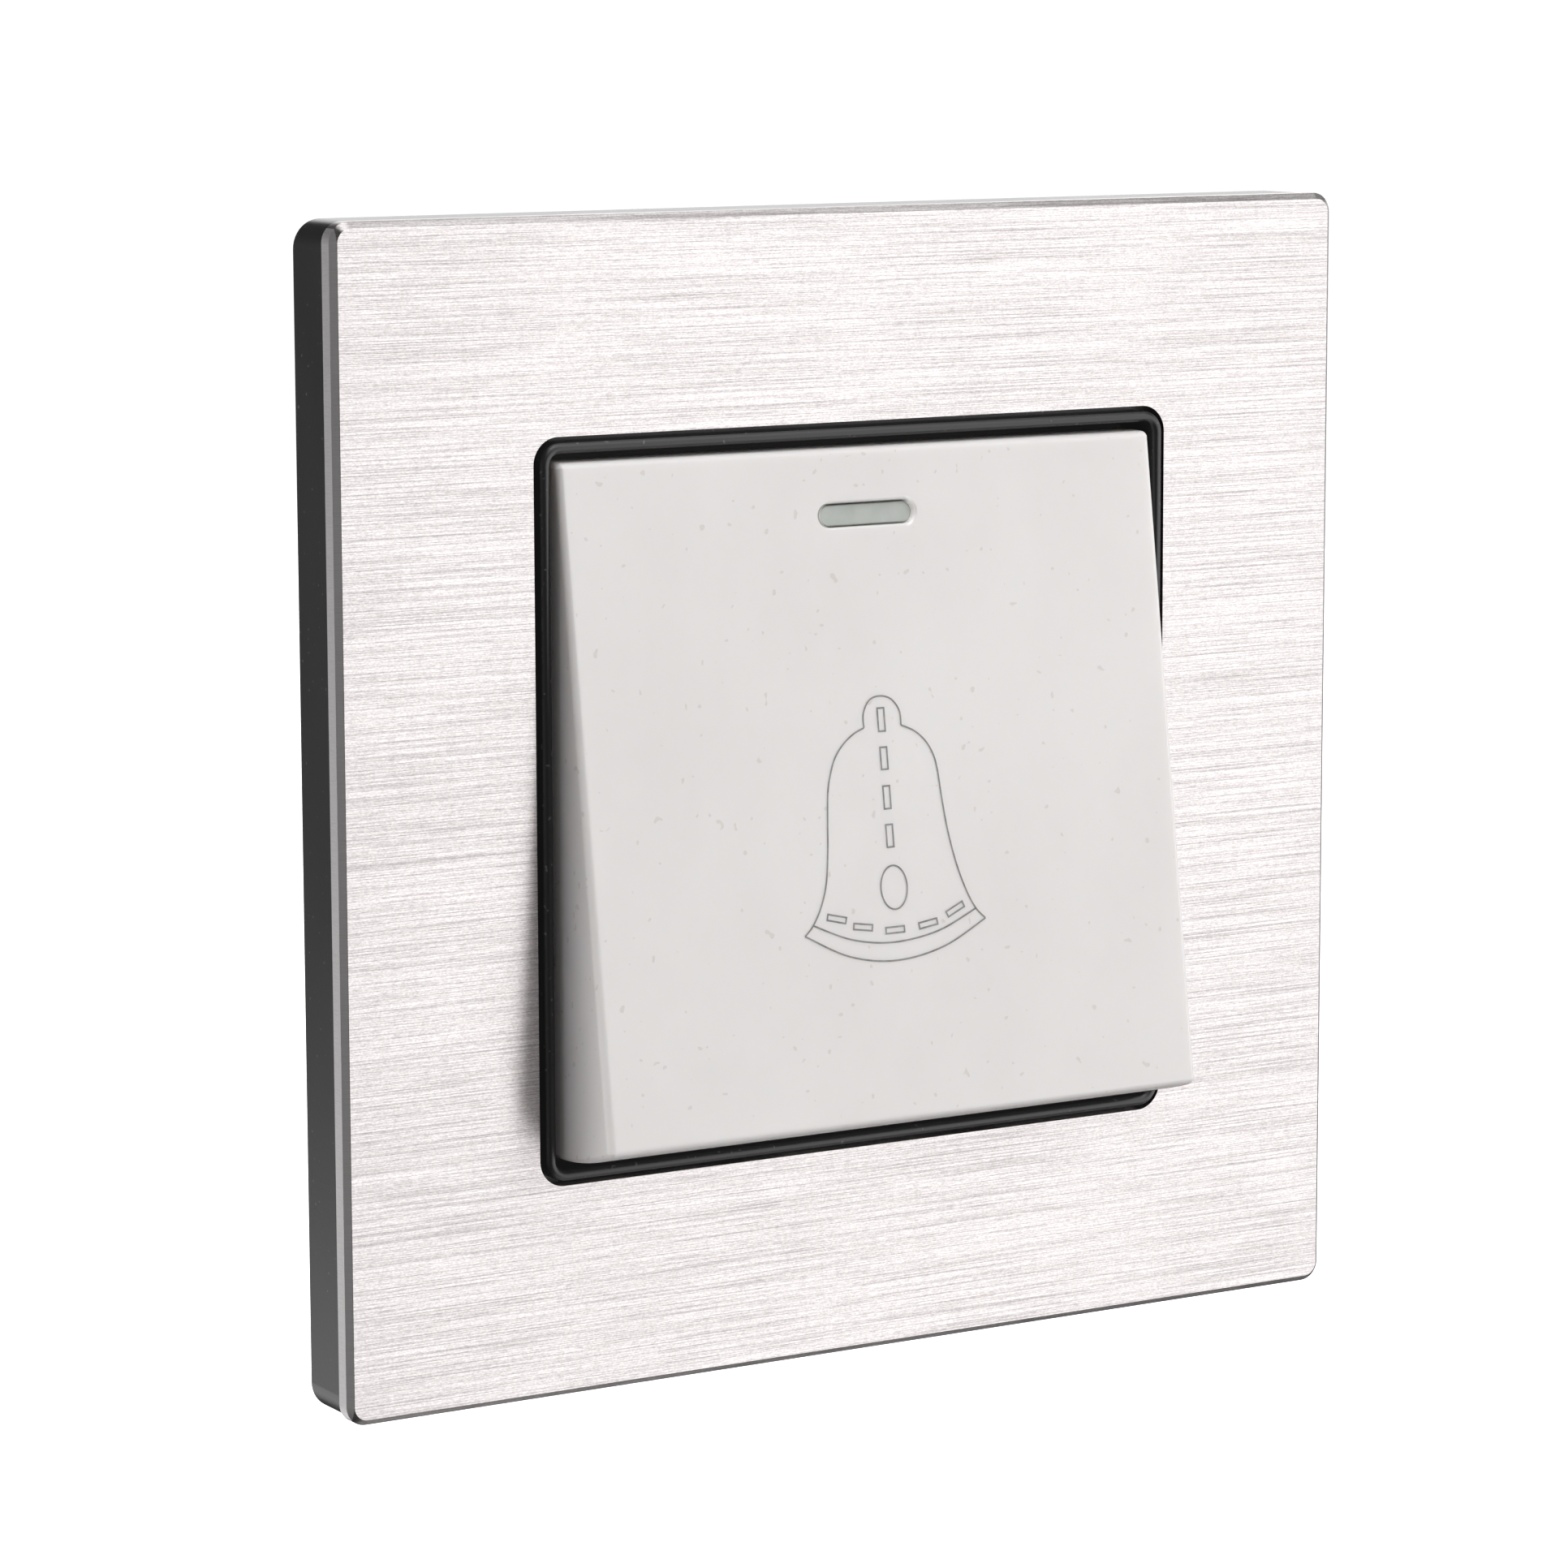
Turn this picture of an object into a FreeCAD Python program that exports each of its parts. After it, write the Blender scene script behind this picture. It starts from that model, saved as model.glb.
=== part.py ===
import FreeCAD, Part
import math
import os
from FreeCAD import Vector

# Wall-box doorbell push with a rocking key. Millimetres, +Z up, +X to the right seen from the front.
# The wall plane is y = 0: the face plate stands in front of it (-Y), the contact box behind it (+Y).
# The origin is the middle of the two fixing slots, on the wall plane.

# Face plate: brushed aluminium sheet with a cut chamfer
PLATE_SIZE = 86.0
PLATE_THICKNESS = 1.6
PLATE_CHAMFER = 0.45
PLATE_CORNER = 1.5
OPENING_SIZE = 54.6
OPENING_CORNER = 2.0
TAPE_THICKNESS = 0.25
TAPE_MARGIN = 3.0

# Trim frame: black moulding behind the plate, with a round bead that rises through the opening
FRAME_DEPTH = 4.5
FRAME_CORNER = 2.1
FRAME_WALL = 1.6
FRAME_FACE_WALL = 1.3
BEAD_WIDTH = 0.8
BEAD_GAP = 0.4
BEAD_RISE = 0.45
BEAD_ROUND = 0.38
HOOK_WIDTH = 8.0
HOOK_THICKNESS = 1.2
HOOK_CATCH = 0.7
HOOK_INSET = 15.0
HOOK_GAP = 0.15
RIB_THICKNESS = 1.0
RIB_SPACING = 11.0
PRY_SLOT_WIDTH = 8.0
PRY_SLOT_HEIGHT = 1.4

# Rocker key: white cap that rocks on two trunnions half way up
KEY_SIDE_GAP = 0.5
KEY_END_GAP = 0.65
KEY_REACH = 5.45
KEY_TILT = 8.03
KEY_WALL = 1.5
KEY_FACE_WALL = 1.6
KEY_ROUND = 0.6
KEY_END_DEPTH = 3.0
KEY_SIDE_DEPTH = 0.8
KEY_SIDE_CUT = 11.2
KEY_LOBE_DEPTH = 1.8
KEY_LOBE = 3.0
PIVOT_FRONT = 4.7
TRUNNION_RADIUS = 1.2
TRUNNION_LENGTH = 2.6
KEY_RIB_X = 8.0
KEY_RIB_THICKNESS = 1.0
KEY_RIB_HEIGHT = 1.4
FOOT_INSET = 5.6
FOOT_WIDTH = 6.0
FOOT_THICKNESS = 2.0
FOOT_DEPTH = 1.5
STOP_INSET = 5.45
STOP_SIDE_GAP = 1.2
STOP_SIZE = 3.0
STOP_DEPTH = 2.0

# Indicator window: light guide that fills a slot near the top of the key
WINDOW_WIDTH = 8.1
WINDOW_HEIGHT = 1.7
WINDOW_RIM = 0.25
WINDOW_EDGE = 0.15
WINDOW_INSET = 5.45
WINDOW_RECESS = 0.4
WINDOW_FLANGE = 1.1
WINDOW_FLANGE_THICKNESS = 0.9
WINDOW_GUIDE = 1.2
WINDOW_FIT = 0.04

# Mounting yoke: zinc plated steel, screwed to the wall box
YOKE_BAR = 1.8
YOKE_END = 1.1
YOKE_CORNER = 5.0
YOKE_THICKNESS = 1.0
FIXING_SPACING = 60.3
FIXING_SLOT_WIDTH = 4.2
FIXING_SLOT_LENGTH = 5.4
EAR_HALF_HEIGHT = 8.2
YOKE_EAR_GAP = 0.3
YOKE_HOLE_CORNER = 0.6
STAKE_RADIUS = 1.2
STAKE_HEAD_RADIUS = 2.0
STAKE_HEAD = 0.7
STAKE_FIT = 0.05
STAKE_SIDE_ROOM = 3.4
STAKE_INSET_Z = 10.0

# Base moulding: flange on the yoke, a well for the key and the bearings of its trunnions
FLANGE_MARGIN = 2.4
FLANGE_CORNER = 3.0
FLANGE_THICKNESS = 1.0
WELL_GAP = 0.45
WELL_WALL = 1.0
WELL_CORNER = 1.0
WELL_CHAMFER = 0.6
WELL_FLOOR = 3.0
FLOOR_THICKNESS = 1.4
EAR_ROOM = 1.75
SCREW_HEAD_ROOM = 4.4
BEARING_FIT = 0.05
BEARING_WALL = 1.2
BEARING_THICKNESS = 1.6
BEARING_SIDE_GAP = 1.0
BEARING_MOUTH = 1.9
GUIDE_WALL = 1.5
GUIDE_RISE = 3.5
STOP_GAP = 0.25
FLOOR_RIB_THICKNESS = 1.0
FLOOR_RIB_HEIGHT = 1.1
FLOOR_RIB_SPACING = 9.0
FLOOR_RIB_GAP = 0.4

# Rear housing: tub for the contacts, held by four screws
HOUSING_WIDTH = 38.0
HOUSING_HEIGHT = 42.0
HOUSING_DEPTH = 17.6
HOUSING_CORNER = 2.0
HOUSING_CHAMFER = 0.8
HOUSING_WALL = 1.6
BOSS_RADIUS = 2.9
BOSS_INSET = 3.4
GRIP_RIB_THICKNESS = 1.0
GRIP_RIB_RISE = 0.5
GRIP_RIB_SPACING = 5.0
GRIP_RIB_MARGIN = 3.0
BARRIER_THICKNESS = 1.2
BARRIER_RISE = 1.0
BARRIER_MARGIN = 2.5
GAUGE_WIDTH = 3.0
GAUGE_LENGTH = 9.0
GAUGE_DEPTH = 0.5
MOUTH_CHAMFER = 0.6
HOUSING_SCREW_RADIUS = 1.2
HOUSING_SCREW_HEAD = 2.2
HOUSING_SCREW_HEAD_HEIGHT = 1.2
HOUSING_SCREW_BITE = 4.5
SCREW_FIT = 0.05

# Plunger, bridge and return spring
PLUNGER_RADIUS = 2.5
PLUNGER_FIT = 0.08
PLUNGER_CROWN = 0.8
CROWN_GAP = 0.25
COLLAR_RADIUS = 4.3
COLLAR_THICKNESS = 1.4
COLLAR_GAP = 0.2
NOSE_RADIUS = 1.6
NOSE_LENGTH = 3.0
BRIDGE_END = 2.3
BRIDGE_WIDTH = 5.0
BRIDGE_THICKNESS = 0.6
RIVET_RADIUS = 1.7
RIVET_HEAD = 0.8
RIVET_SHANK = 0.9
RIVET_INSET = 9.8
CONTACT_GAP_CLOSED = 0.2
SPRING_WIRE = 0.5
SPRING_TURNS = 5.0
SPRING_MEAN_RADIUS = 2.6
SPRING_END_GAP = 0.05
SPRING_POST_RISE = 3.6
SPRING_PIN_RISE = 2.0

# Contact strips, terminals and their screws
STRIP_THICKNESS = 1.0
STRIP_WIDTH = 5.0
STRIP_TAIL_WIDTH = 2.0
TERMINAL_INSET = 9.0
TERMINAL_GAP = 1.7
TERMINAL_WIDTH = 7.0
TERMINAL_HEIGHT = 8.0
WIRE_HOLE_RADIUS = 1.7
WIRE_MOUTH_RADIUS = 2.3
CLAMP_SCREW_RADIUS = 1.6
CLAMP_HEAD_RADIUS = 2.9
CLAMP_HEAD_HEIGHT = 1.5
CLAMP_WELL_GAP = 0.3
SLOT_CUT_WIDTH = 0.7
SLOT_CUT_DEPTH = 0.6
SLOT_CUT_REACH = 0.7

# Indicator circuit
BOARD_WIDTH = 20.0
BOARD_EDGE = 1.2
BOARD_RISE = 3.5
BOARD_THICKNESS = 1.0
LAMP_RADIUS = 1.5
LAMP_RIM_RADIUS = 1.9
LAMP_RIM = 0.8
LAMP_HEIGHT = 4.0
RESISTOR_RADIUS = 1.0
RESISTOR_LENGTH = 5.0
PIN_RADIUS = 0.5
PIN_FIT = 0.05
PIN_X = 4.0
PIN_INSET = 1.9

# Modelling allowances: how far a cut runs past the face it opens, and when an edge counts as on a face
PAST = 1.0
TOUCH = 0.01
ALIGNED_SHARE = 0.999

# Places that follow from the sizes above
PLATE_BACK = -FRAME_DEPTH
PLATE_FRONT = PLATE_BACK - PLATE_THICKNESS
YOKE_FRONT = -YOKE_THICKNESS
FLANGE_FRONT = YOKE_FRONT - FLANGE_THICKNESS
BEAD_OUTER = OPENING_SIZE / 2 - BEAD_GAP
BEAD_INNER = BEAD_OUTER - BEAD_WIDTH
KEY_WIDTH = 2 * (BEAD_INNER - KEY_SIDE_GAP)
KEY_END_RADIUS = BEAD_INNER - KEY_END_GAP
PIVOT_Y = -PIVOT_FRONT
TILT = math.radians(KEY_TILT)
WINDOW_PLACE = KEY_END_RADIUS - WINDOW_INSET
WELL_HALF = KEY_END_RADIUS + WELL_GAP
WELL_OUTER = WELL_HALF + WELL_WALL
EAR_X = FIXING_SPACING / 2 - SCREW_HEAD_ROOM - EAR_ROOM - WELL_WALL
FLOOR_BACK = WELL_FLOOR + FLOOR_THICKNESS
YOKE_WIDTH = FIXING_SPACING + FIXING_SLOT_LENGTH + 2 * YOKE_END
YOKE_HEIGHT = 2 * (WELL_OUTER + YOKE_EAR_GAP + YOKE_BAR)
STAKE_X = WELL_OUTER + YOKE_EAR_GAP + STAKE_SIDE_ROOM
STAKE_Z = YOKE_HEIGHT / 2 - STAKE_INSET_Z
FLANGE_SIZE = 2 * (STAKE_X + FLANGE_MARGIN)
HOOK_OFFSET = FLANGE_SIZE / 2 - HOOK_INSET
BEARING_OUTER_X = KEY_WIDTH / 2 - KEY_WALL - BEARING_SIDE_GAP
BEARING_RADIUS = TRUNNION_RADIUS + BEARING_FIT
HOUSING_BACK = FLOOR_BACK + HOUSING_DEPTH
HOUSING_FLOOR = HOUSING_BACK - HOUSING_WALL
BOSS_X = HOUSING_WIDTH / 2 - BOSS_INSET
BOSS_Z = HOUSING_HEIGHT / 2 - BOSS_INSET
FOOT_OFFSET = BOSS_Z - FOOT_INSET
STOP_OFFSET = KEY_END_RADIUS - STOP_INSET
STOP_SIDE = BOSS_X + HOUSING_SCREW_RADIUS + WELL_WALL + STOP_SIDE_GAP + STOP_SIZE / 2
TERMINAL_X = HOUSING_WIDTH / 2 - TERMINAL_INSET
TERMINAL_Z = BOSS_Z - BOSS_RADIUS - TERMINAL_GAP - TERMINAL_HEIGHT / 2
RIVET_X = HOUSING_WIDTH / 2 - RIVET_INSET
PIN_Z = HOUSING_HEIGHT / 2 - HOUSING_WALL - PIN_INSET
LAMP_Z = WINDOW_PLACE * math.cos(TILT)
PLUNGER_TRAVEL = 2 * FOOT_OFFSET * math.sin(TILT)
FOOT_TIP_Y = PIVOT_Y + FOOT_DEPTH * math.cos(TILT) - FOOT_OFFSET * math.sin(TILT)
CROWN_Y = FOOT_TIP_Y + CROWN_GAP
GUIDE_FRONT = WELL_FLOOR - GUIDE_RISE
COLLAR_FRONT = FLOOR_BACK + COLLAR_GAP
COLLAR_BACK = COLLAR_FRONT + COLLAR_THICKNESS
BRIDGE_BACK = COLLAR_BACK + BRIDGE_THICKNESS
STRIP_FRONT = BRIDGE_BACK + 2 * RIVET_HEAD + PLUNGER_TRAVEL + CONTACT_GAP_CLOSED
STRIP_BACK = STRIP_FRONT + STRIP_THICKNESS
TERMINAL_BACK = HOUSING_FLOOR - CLAMP_WELL_GAP
WIRE_Y = (STRIP_BACK + TERMINAL_BACK) / 2
SPRING_POST_FRONT = HOUSING_FLOOR - SPRING_POST_RISE


def block(low, high):
    """Box between two corners."""
    return Part.makeBox(high[0] - low[0], high[1] - low[1], high[2] - low[2], Vector(*low))


def rod(radius, start, length, direction=(0, 1, 0)):
    """Round bar from a start point along a direction."""
    return Part.makeCylinder(radius, length, Vector(*start), Vector(*direction))


def along(shape, axis):
    """Straight edges of a shape that run along an axis."""
    found = []
    for edge in shape.Edges:
        if isinstance(edge.Curve, Part.Line) and abs(edge.Curve.Direction.dot(axis)) > ALIGNED_SHARE:
            found.append(edge)
    return found


def rounded_block(width, height, corner, front, back, centre_x=0.0, centre_z=0.0):
    """Upright plate with its four corners rounded, from a front to a back plane."""
    low = (centre_x - width / 2, front, centre_z - height / 2)
    high = (centre_x + width / 2, back, centre_z + height / 2)
    solid = block(low, high)
    return solid.makeFillet(corner, along(solid, Vector(0, 1, 0)))


def stadium(width, height, front, back, centre_x=0.0, centre_z=0.0):
    """Block with fully round ends, longer in X than in Z."""
    half = (width - height) / 2
    low = (centre_x - half, front, centre_z - height / 2)
    high = (centre_x + half, back, centre_z + height / 2)
    solid = block(low, high)
    for side in (-1, 1):
        solid = solid.fuse(rod(height / 2, (centre_x + side * half, front, centre_z), back - front))
    return solid.removeSplitter()


def prism_x(points, low_x, high_x):
    """Polygon given as (y, z) points, drawn out along X."""
    wire = Part.makePolygon([Vector(low_x, y, z) for y, z in points] + [Vector(low_x, *points[0])])
    return Part.Face(wire).extrude(Vector(high_x - low_x, 0, 0))


def face_plate():
    """Square sheet with a square opening and a chamfered front edge."""
    sheet = rounded_block(PLATE_SIZE, PLATE_SIZE, PLATE_CORNER, PLATE_FRONT, PLATE_BACK)
    rim = [e for e in sheet.Edges if e.BoundBox.YMax < PLATE_FRONT + TOUCH]
    sheet = sheet.makeChamfer(PLATE_CHAMFER, rim)
    hole = rounded_block(OPENING_SIZE, OPENING_SIZE, OPENING_CORNER, PLATE_FRONT - PAST, PLATE_BACK + PAST)
    return sheet.cut(hole)


def tape_ring(front, back):
    """Square ring that the tape fills, between the plate's edge and its opening."""
    outer = PLATE_SIZE - 2 * TAPE_MARGIN
    inner = OPENING_SIZE + 2 * TAPE_MARGIN
    ring = rounded_block(outer, outer, PLATE_CORNER, front, back)
    return ring.cut(rounded_block(inner, inner, OPENING_CORNER, front - PAST, back + PAST))


def trim_frame():
    """Hollow frame with the bead, the ribs and four snap hooks."""
    shell = rounded_block(PLATE_SIZE, PLATE_SIZE, FRAME_CORNER, PLATE_BACK, 0)
    inside = PLATE_SIZE - 2 * FRAME_WALL
    hollow = rounded_block(inside, inside, FRAME_CORNER - FRAME_WALL, PLATE_BACK + FRAME_FACE_WALL, PAST)
    shell = shell.cut(hollow)
    shell = shell.fuse(frame_ribs())
    crest = PLATE_FRONT - BEAD_RISE
    bead_corner = OPENING_CORNER - BEAD_GAP
    tube = rounded_block(2 * BEAD_OUTER, 2 * BEAD_OUTER, bead_corner, crest, FLANGE_FRONT)
    shell = shell.fuse(tube)
    inner_corner = bead_corner - BEAD_WIDTH
    shell = shell.cut(rounded_block(2 * BEAD_INNER, 2 * BEAD_INNER, inner_corner, crest - PAST, PAST))
    lips = [e for e in shell.Edges if e.BoundBox.YMax < crest + TOUCH]
    shell = shell.makeFillet(BEAD_ROUND, lips)
    shell = shell.cut(tape_ring(PLATE_BACK - PAST, PLATE_BACK + TAPE_THICKNESS))
    for side in (-1, 1):
        for end in (-1, 1):
            shell = shell.fuse(snap_hook(side * HOOK_OFFSET, end))
    edge = -PLATE_SIZE / 2
    pry_low = (-PRY_SLOT_WIDTH / 2, -PRY_SLOT_HEIGHT, edge - PAST)
    pry_high = (PRY_SLOT_WIDTH / 2, PAST, edge + FRAME_WALL + PAST)
    pry = block(pry_low, pry_high)
    return shell.cut(pry).removeSplitter()


def frame_ribs():
    """Ribs across the hollow back: low over the flange, deeper outside it."""
    face = PLATE_BACK + FRAME_FACE_WALL / 2
    over_flange = FLANGE_FRONT - HOOK_GAP
    wall = PLATE_SIZE / 2 - FRAME_WALL / 2
    step = FLANGE_SIZE / 2 + HOOK_GAP
    deep = YOKE_FRONT - HOOK_GAP
    count = int(OPENING_SIZE / 2 // RIB_SPACING)
    ribs = []
    for place in range(-count, count + 1):
        low_z = place * RIB_SPACING - RIB_THICKNESS / 2
        high_z = low_z + RIB_THICKNESS
        inner = block((BEAD_INNER, face, low_z), (wall, over_flange, high_z))
        outer = block((step, face, low_z), (wall, deep, high_z))
        right = inner.fuse(outer)
        for turn in range(4):
            rib = right.copy()
            rib.rotate(Vector(0, 0, 0), Vector(0, 1, 0), 90 * turn)
            ribs.append(rib)
    return ribs


def snap_hook(centre_x, end):
    """Hook behind the top or bottom edge of the base moulding's flange."""
    edge = FLANGE_SIZE / 2
    stem_low = edge + HOOK_GAP
    root = PLATE_BACK + FRAME_FACE_WALL / 2
    catch = YOKE_FRONT + HOOK_GAP
    tip = -HOOK_GAP
    profile = [
        (root, stem_low),
        (catch, stem_low),
        (catch, edge - HOOK_CATCH),
        (catch + HOOK_GAP, edge - HOOK_CATCH),
        (tip, stem_low),
        (tip, stem_low + HOOK_THICKNESS),
        (root, stem_low + HOOK_THICKNESS),
    ]
    half = HOOK_WIDTH / 2
    return prism_x([(y, end * z) for y, z in profile], centre_x - half, centre_x + half)


def key_profile(reach, radius, depth):
    """Side view of the key, pivot at the origin: flat face and two round ends about the pivot."""
    top = math.sqrt(radius ** 2 - reach ** 2)
    back = math.sqrt(radius ** 2 - depth ** 2)
    places = [(-reach, -top), (-reach, top), (depth, back), (depth, -back)]
    corners = [Vector(0, y, z) for y, z in places]
    edges = [
        Part.LineSegment(corners[0], corners[1]).toShape(),
        Part.Arc(corners[1], Vector(0, 0, radius), corners[2]).toShape(),
        Part.LineSegment(corners[2], corners[3]).toShape(),
        Part.Arc(corners[3], Vector(0, 0, -radius), corners[0]).toShape(),
    ]
    return Part.Face(Part.Wire(edges))


def key_body(reach, radius, depth, half_width):
    """Solid of the key's side view, drawn out across its width."""
    body = key_profile(reach, radius, depth).extrude(Vector(2 * half_width, 0, 0))
    body.translate(Vector(-half_width, 0, 0))
    return body


def key_window_slot(grow, front, back):
    """Block in the shape of the indicator slot, from one depth to another."""
    width = WINDOW_WIDTH + 2 * grow
    height = WINDOW_HEIGHT + 2 * grow
    return stadium(width, height, front, back, 0, WINDOW_PLACE)


def seat_key(shape):
    """Tilt a piece of the key to its resting slope and set it on its pivot."""
    placed = shape.copy()
    placed.rotate(Vector(0, 0, 0), Vector(1, 0, 0), -KEY_TILT)
    placed.translate(Vector(0, PIVOT_Y, 0))
    return placed


def rocker_key():
    """Hollow cap: face, skirts, trunnions, the foot on the plunger and the stops."""
    half = KEY_WIDTH / 2
    cap = key_body(KEY_REACH, KEY_END_RADIUS, KEY_END_DEPTH, half)
    cap = cap.makeFillet(KEY_ROUND, [edge for edge in cap.Edges if edge.BoundBox.YMax < -KEY_REACH + TOUCH])
    inner_face = -KEY_REACH + KEY_FACE_WALL
    cap = cap.cut(key_body(-inner_face, KEY_END_RADIUS - KEY_WALL, KEY_END_DEPTH + PAST, half - KEY_WALL))
    wide = half + PAST
    shallow = block((-wide, KEY_SIDE_DEPTH, -KEY_SIDE_CUT), (wide, KEY_END_DEPTH + PAST, KEY_SIDE_CUT))
    lobe = block((-wide, KEY_SIDE_DEPTH - PAST, -KEY_LOBE), (wide, KEY_LOBE_DEPTH, KEY_LOBE))
    cap = cap.cut(shallow.cut(lobe))
    inner_side = half - KEY_WALL
    pieces = []
    for side in (-1, 1):
        start = side * (inner_side + KEY_WALL / 2)
        pieces.append(rod(TRUNNION_RADIUS, (start, 0, 0), TRUNNION_LENGTH + KEY_WALL / 2, (-side, 0, 0)))
        for end in (-1, 1):
            pieces.append(key_stop(side * STOP_SIDE, end * STOP_OFFSET, inner_face))
    pieces.append(key_foot(inner_face))
    pieces.extend(key_ribs(inner_face))
    cap = cap.fuse(pieces)
    cap = cap.cut(key_window_slot(0, -KEY_REACH - PAST, inner_face + PAST))
    cap = cap.makeFillet(WINDOW_RIM, slot_edges(cap, -KEY_REACH))
    return seat_key(cap.removeSplitter())


def slot_edges(shape, plane):
    """Edges round the indicator slot that lie on a plane of the key."""
    found = []
    for edge in shape.Edges:
        box = edge.BoundBox
        on_plane = abs(box.YMin - plane) < TOUCH and abs(box.YMax - plane) < TOUCH
        in_width = box.XMin > -WINDOW_WIDTH / 2 - TOUCH and box.XMax < WINDOW_WIDTH / 2 + TOUCH
        in_height = abs((box.ZMin + box.ZMax) / 2 - WINDOW_PLACE) < WINDOW_HEIGHT / 2 + TOUCH
        if on_plane and in_width and in_height:
            found.append(edge)
    return found


def key_ribs(inner_face):
    """Two stiffening ribs behind the face, from end wall to end wall."""
    front = inner_face - KEY_FACE_WALL / 2
    back = inner_face + KEY_RIB_HEIGHT
    reach = math.sqrt((KEY_END_RADIUS - KEY_WALL / 2) ** 2 - KEY_REACH ** 2)
    half = KEY_RIB_THICKNESS / 2
    ribs = []
    for x in (-KEY_RIB_X, KEY_RIB_X):
        ribs.append(block((x - half, front, -reach), (x + half, back, reach)))
    return ribs


def key_foot(inner_face):
    """Post with a round tip that bears on the plunger."""
    half = FOOT_THICKNESS / 2
    tip = FOOT_DEPTH - half
    post = block((-FOOT_WIDTH / 2, inner_face - KEY_FACE_WALL / 2, -FOOT_OFFSET - half),
                 (FOOT_WIDTH / 2, tip, -FOOT_OFFSET + half))
    return post.fuse(rod(half, (-FOOT_WIDTH / 2, tip, -FOOT_OFFSET), FOOT_WIDTH, (1, 0, 0)))


def key_stop(centre_x, centre_z, inner_face):
    """Post that stops the key on the floor of the well."""
    half = STOP_SIZE / 2
    return block((centre_x - half, inner_face - KEY_FACE_WALL / 2, centre_z - half),
                 (centre_x + half, STOP_DEPTH, centre_z + half))


def indicator_window():
    """Clear light guide: a face in the slot, a flange behind it and a stub towards the lamp."""
    inner_face = -KEY_REACH + KEY_FACE_WALL
    guide = key_window_slot(-WINDOW_FIT, -KEY_REACH + WINDOW_RECESS, inner_face)
    flange_back = inner_face + WINDOW_FLANGE_THICKNESS
    guide = guide.fuse(key_window_slot(WINDOW_FLANGE, inner_face, flange_back))
    guide = guide.fuse(key_window_slot(-WINDOW_FIT, flange_back, flange_back + WINDOW_GUIDE))
    guide = guide.removeSplitter()
    guide = guide.makeFillet(WINDOW_EDGE, slot_edges(guide, -KEY_REACH + WINDOW_RECESS))
    return seat_key(guide)


def mounting_yoke():
    """Steel plate with a stepped opening, two fixing slots and holes for the stakes."""
    plate = rounded_block(YOKE_WIDTH, YOKE_HEIGHT, YOKE_CORNER, YOKE_FRONT, 0)
    clear = WELL_OUTER + YOKE_EAR_GAP
    hole = block((-clear, YOKE_FRONT - PAST, -clear), (clear, PAST, clear))
    ear_inner = EAR_X + WELL_WALL + YOKE_EAR_GAP
    for side in (-1, 1):
        low_x, high_x = sorted((side * ear_inner, side * (clear + PAST)))
        tongue_low = (low_x, YOKE_FRONT - 2 * PAST, -EAR_HALF_HEIGHT)
        tongue = block(tongue_low, (high_x, 2 * PAST, EAR_HALF_HEIGHT))
        hole = hole.cut(tongue)
    hole = hole.makeFillet(YOKE_HOLE_CORNER, along(hole, Vector(0, 1, 0)))
    for side in (-1, 1):
        slot_x = side * FIXING_SPACING / 2
        slot = stadium(FIXING_SLOT_LENGTH, FIXING_SLOT_WIDTH, YOKE_FRONT - PAST, PAST, slot_x, 0)
        plate = plate.cut(slot)
    plate = plate.cut(hole)
    for x, z in stake_places():
        plate = plate.cut(rod(STAKE_RADIUS + STAKE_FIT, (x, YOKE_FRONT - PAST, z), YOKE_THICKNESS + 2 * PAST))
        plate = plate.cut(stake_head(x, z, STAKE_FIT, 0))
    return plate


def stake_head(x, z, grow, back):
    """Countersunk head of a stake, or the larger cone of its seat in the yoke."""
    start = Vector(x, -STAKE_HEAD, z)
    head = Part.makeCone(STAKE_RADIUS + grow, STAKE_HEAD_RADIUS + grow, STAKE_HEAD, start, Vector(0, 1, 0))
    reach = 2 * STAKE_HEAD_RADIUS
    return head.cut(block((x - reach, back, z - reach), (x + reach, back + PAST, z + reach)))


def stake_places():
    """Centres of the four stakes that hold the yoke to the base moulding."""
    return [(side * STAKE_X, end * STAKE_Z) for side in (-1, 1) for end in (-1, 1)]


def well_plan(half, ear, ear_height, corner, front, back):
    """Square well with rounded corners, whose two sides step inwards beside the fixing slots."""
    solid = rounded_block(2 * half, 2 * half, corner, front, back)
    for side in (-1, 1):
        ends = sorted((side * ear, side * (half + PAST)))
        solid = solid.cut(block((ends[0], front - PAST, -ear_height), (ends[1], back + PAST, ear_height)))
    return solid


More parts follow.
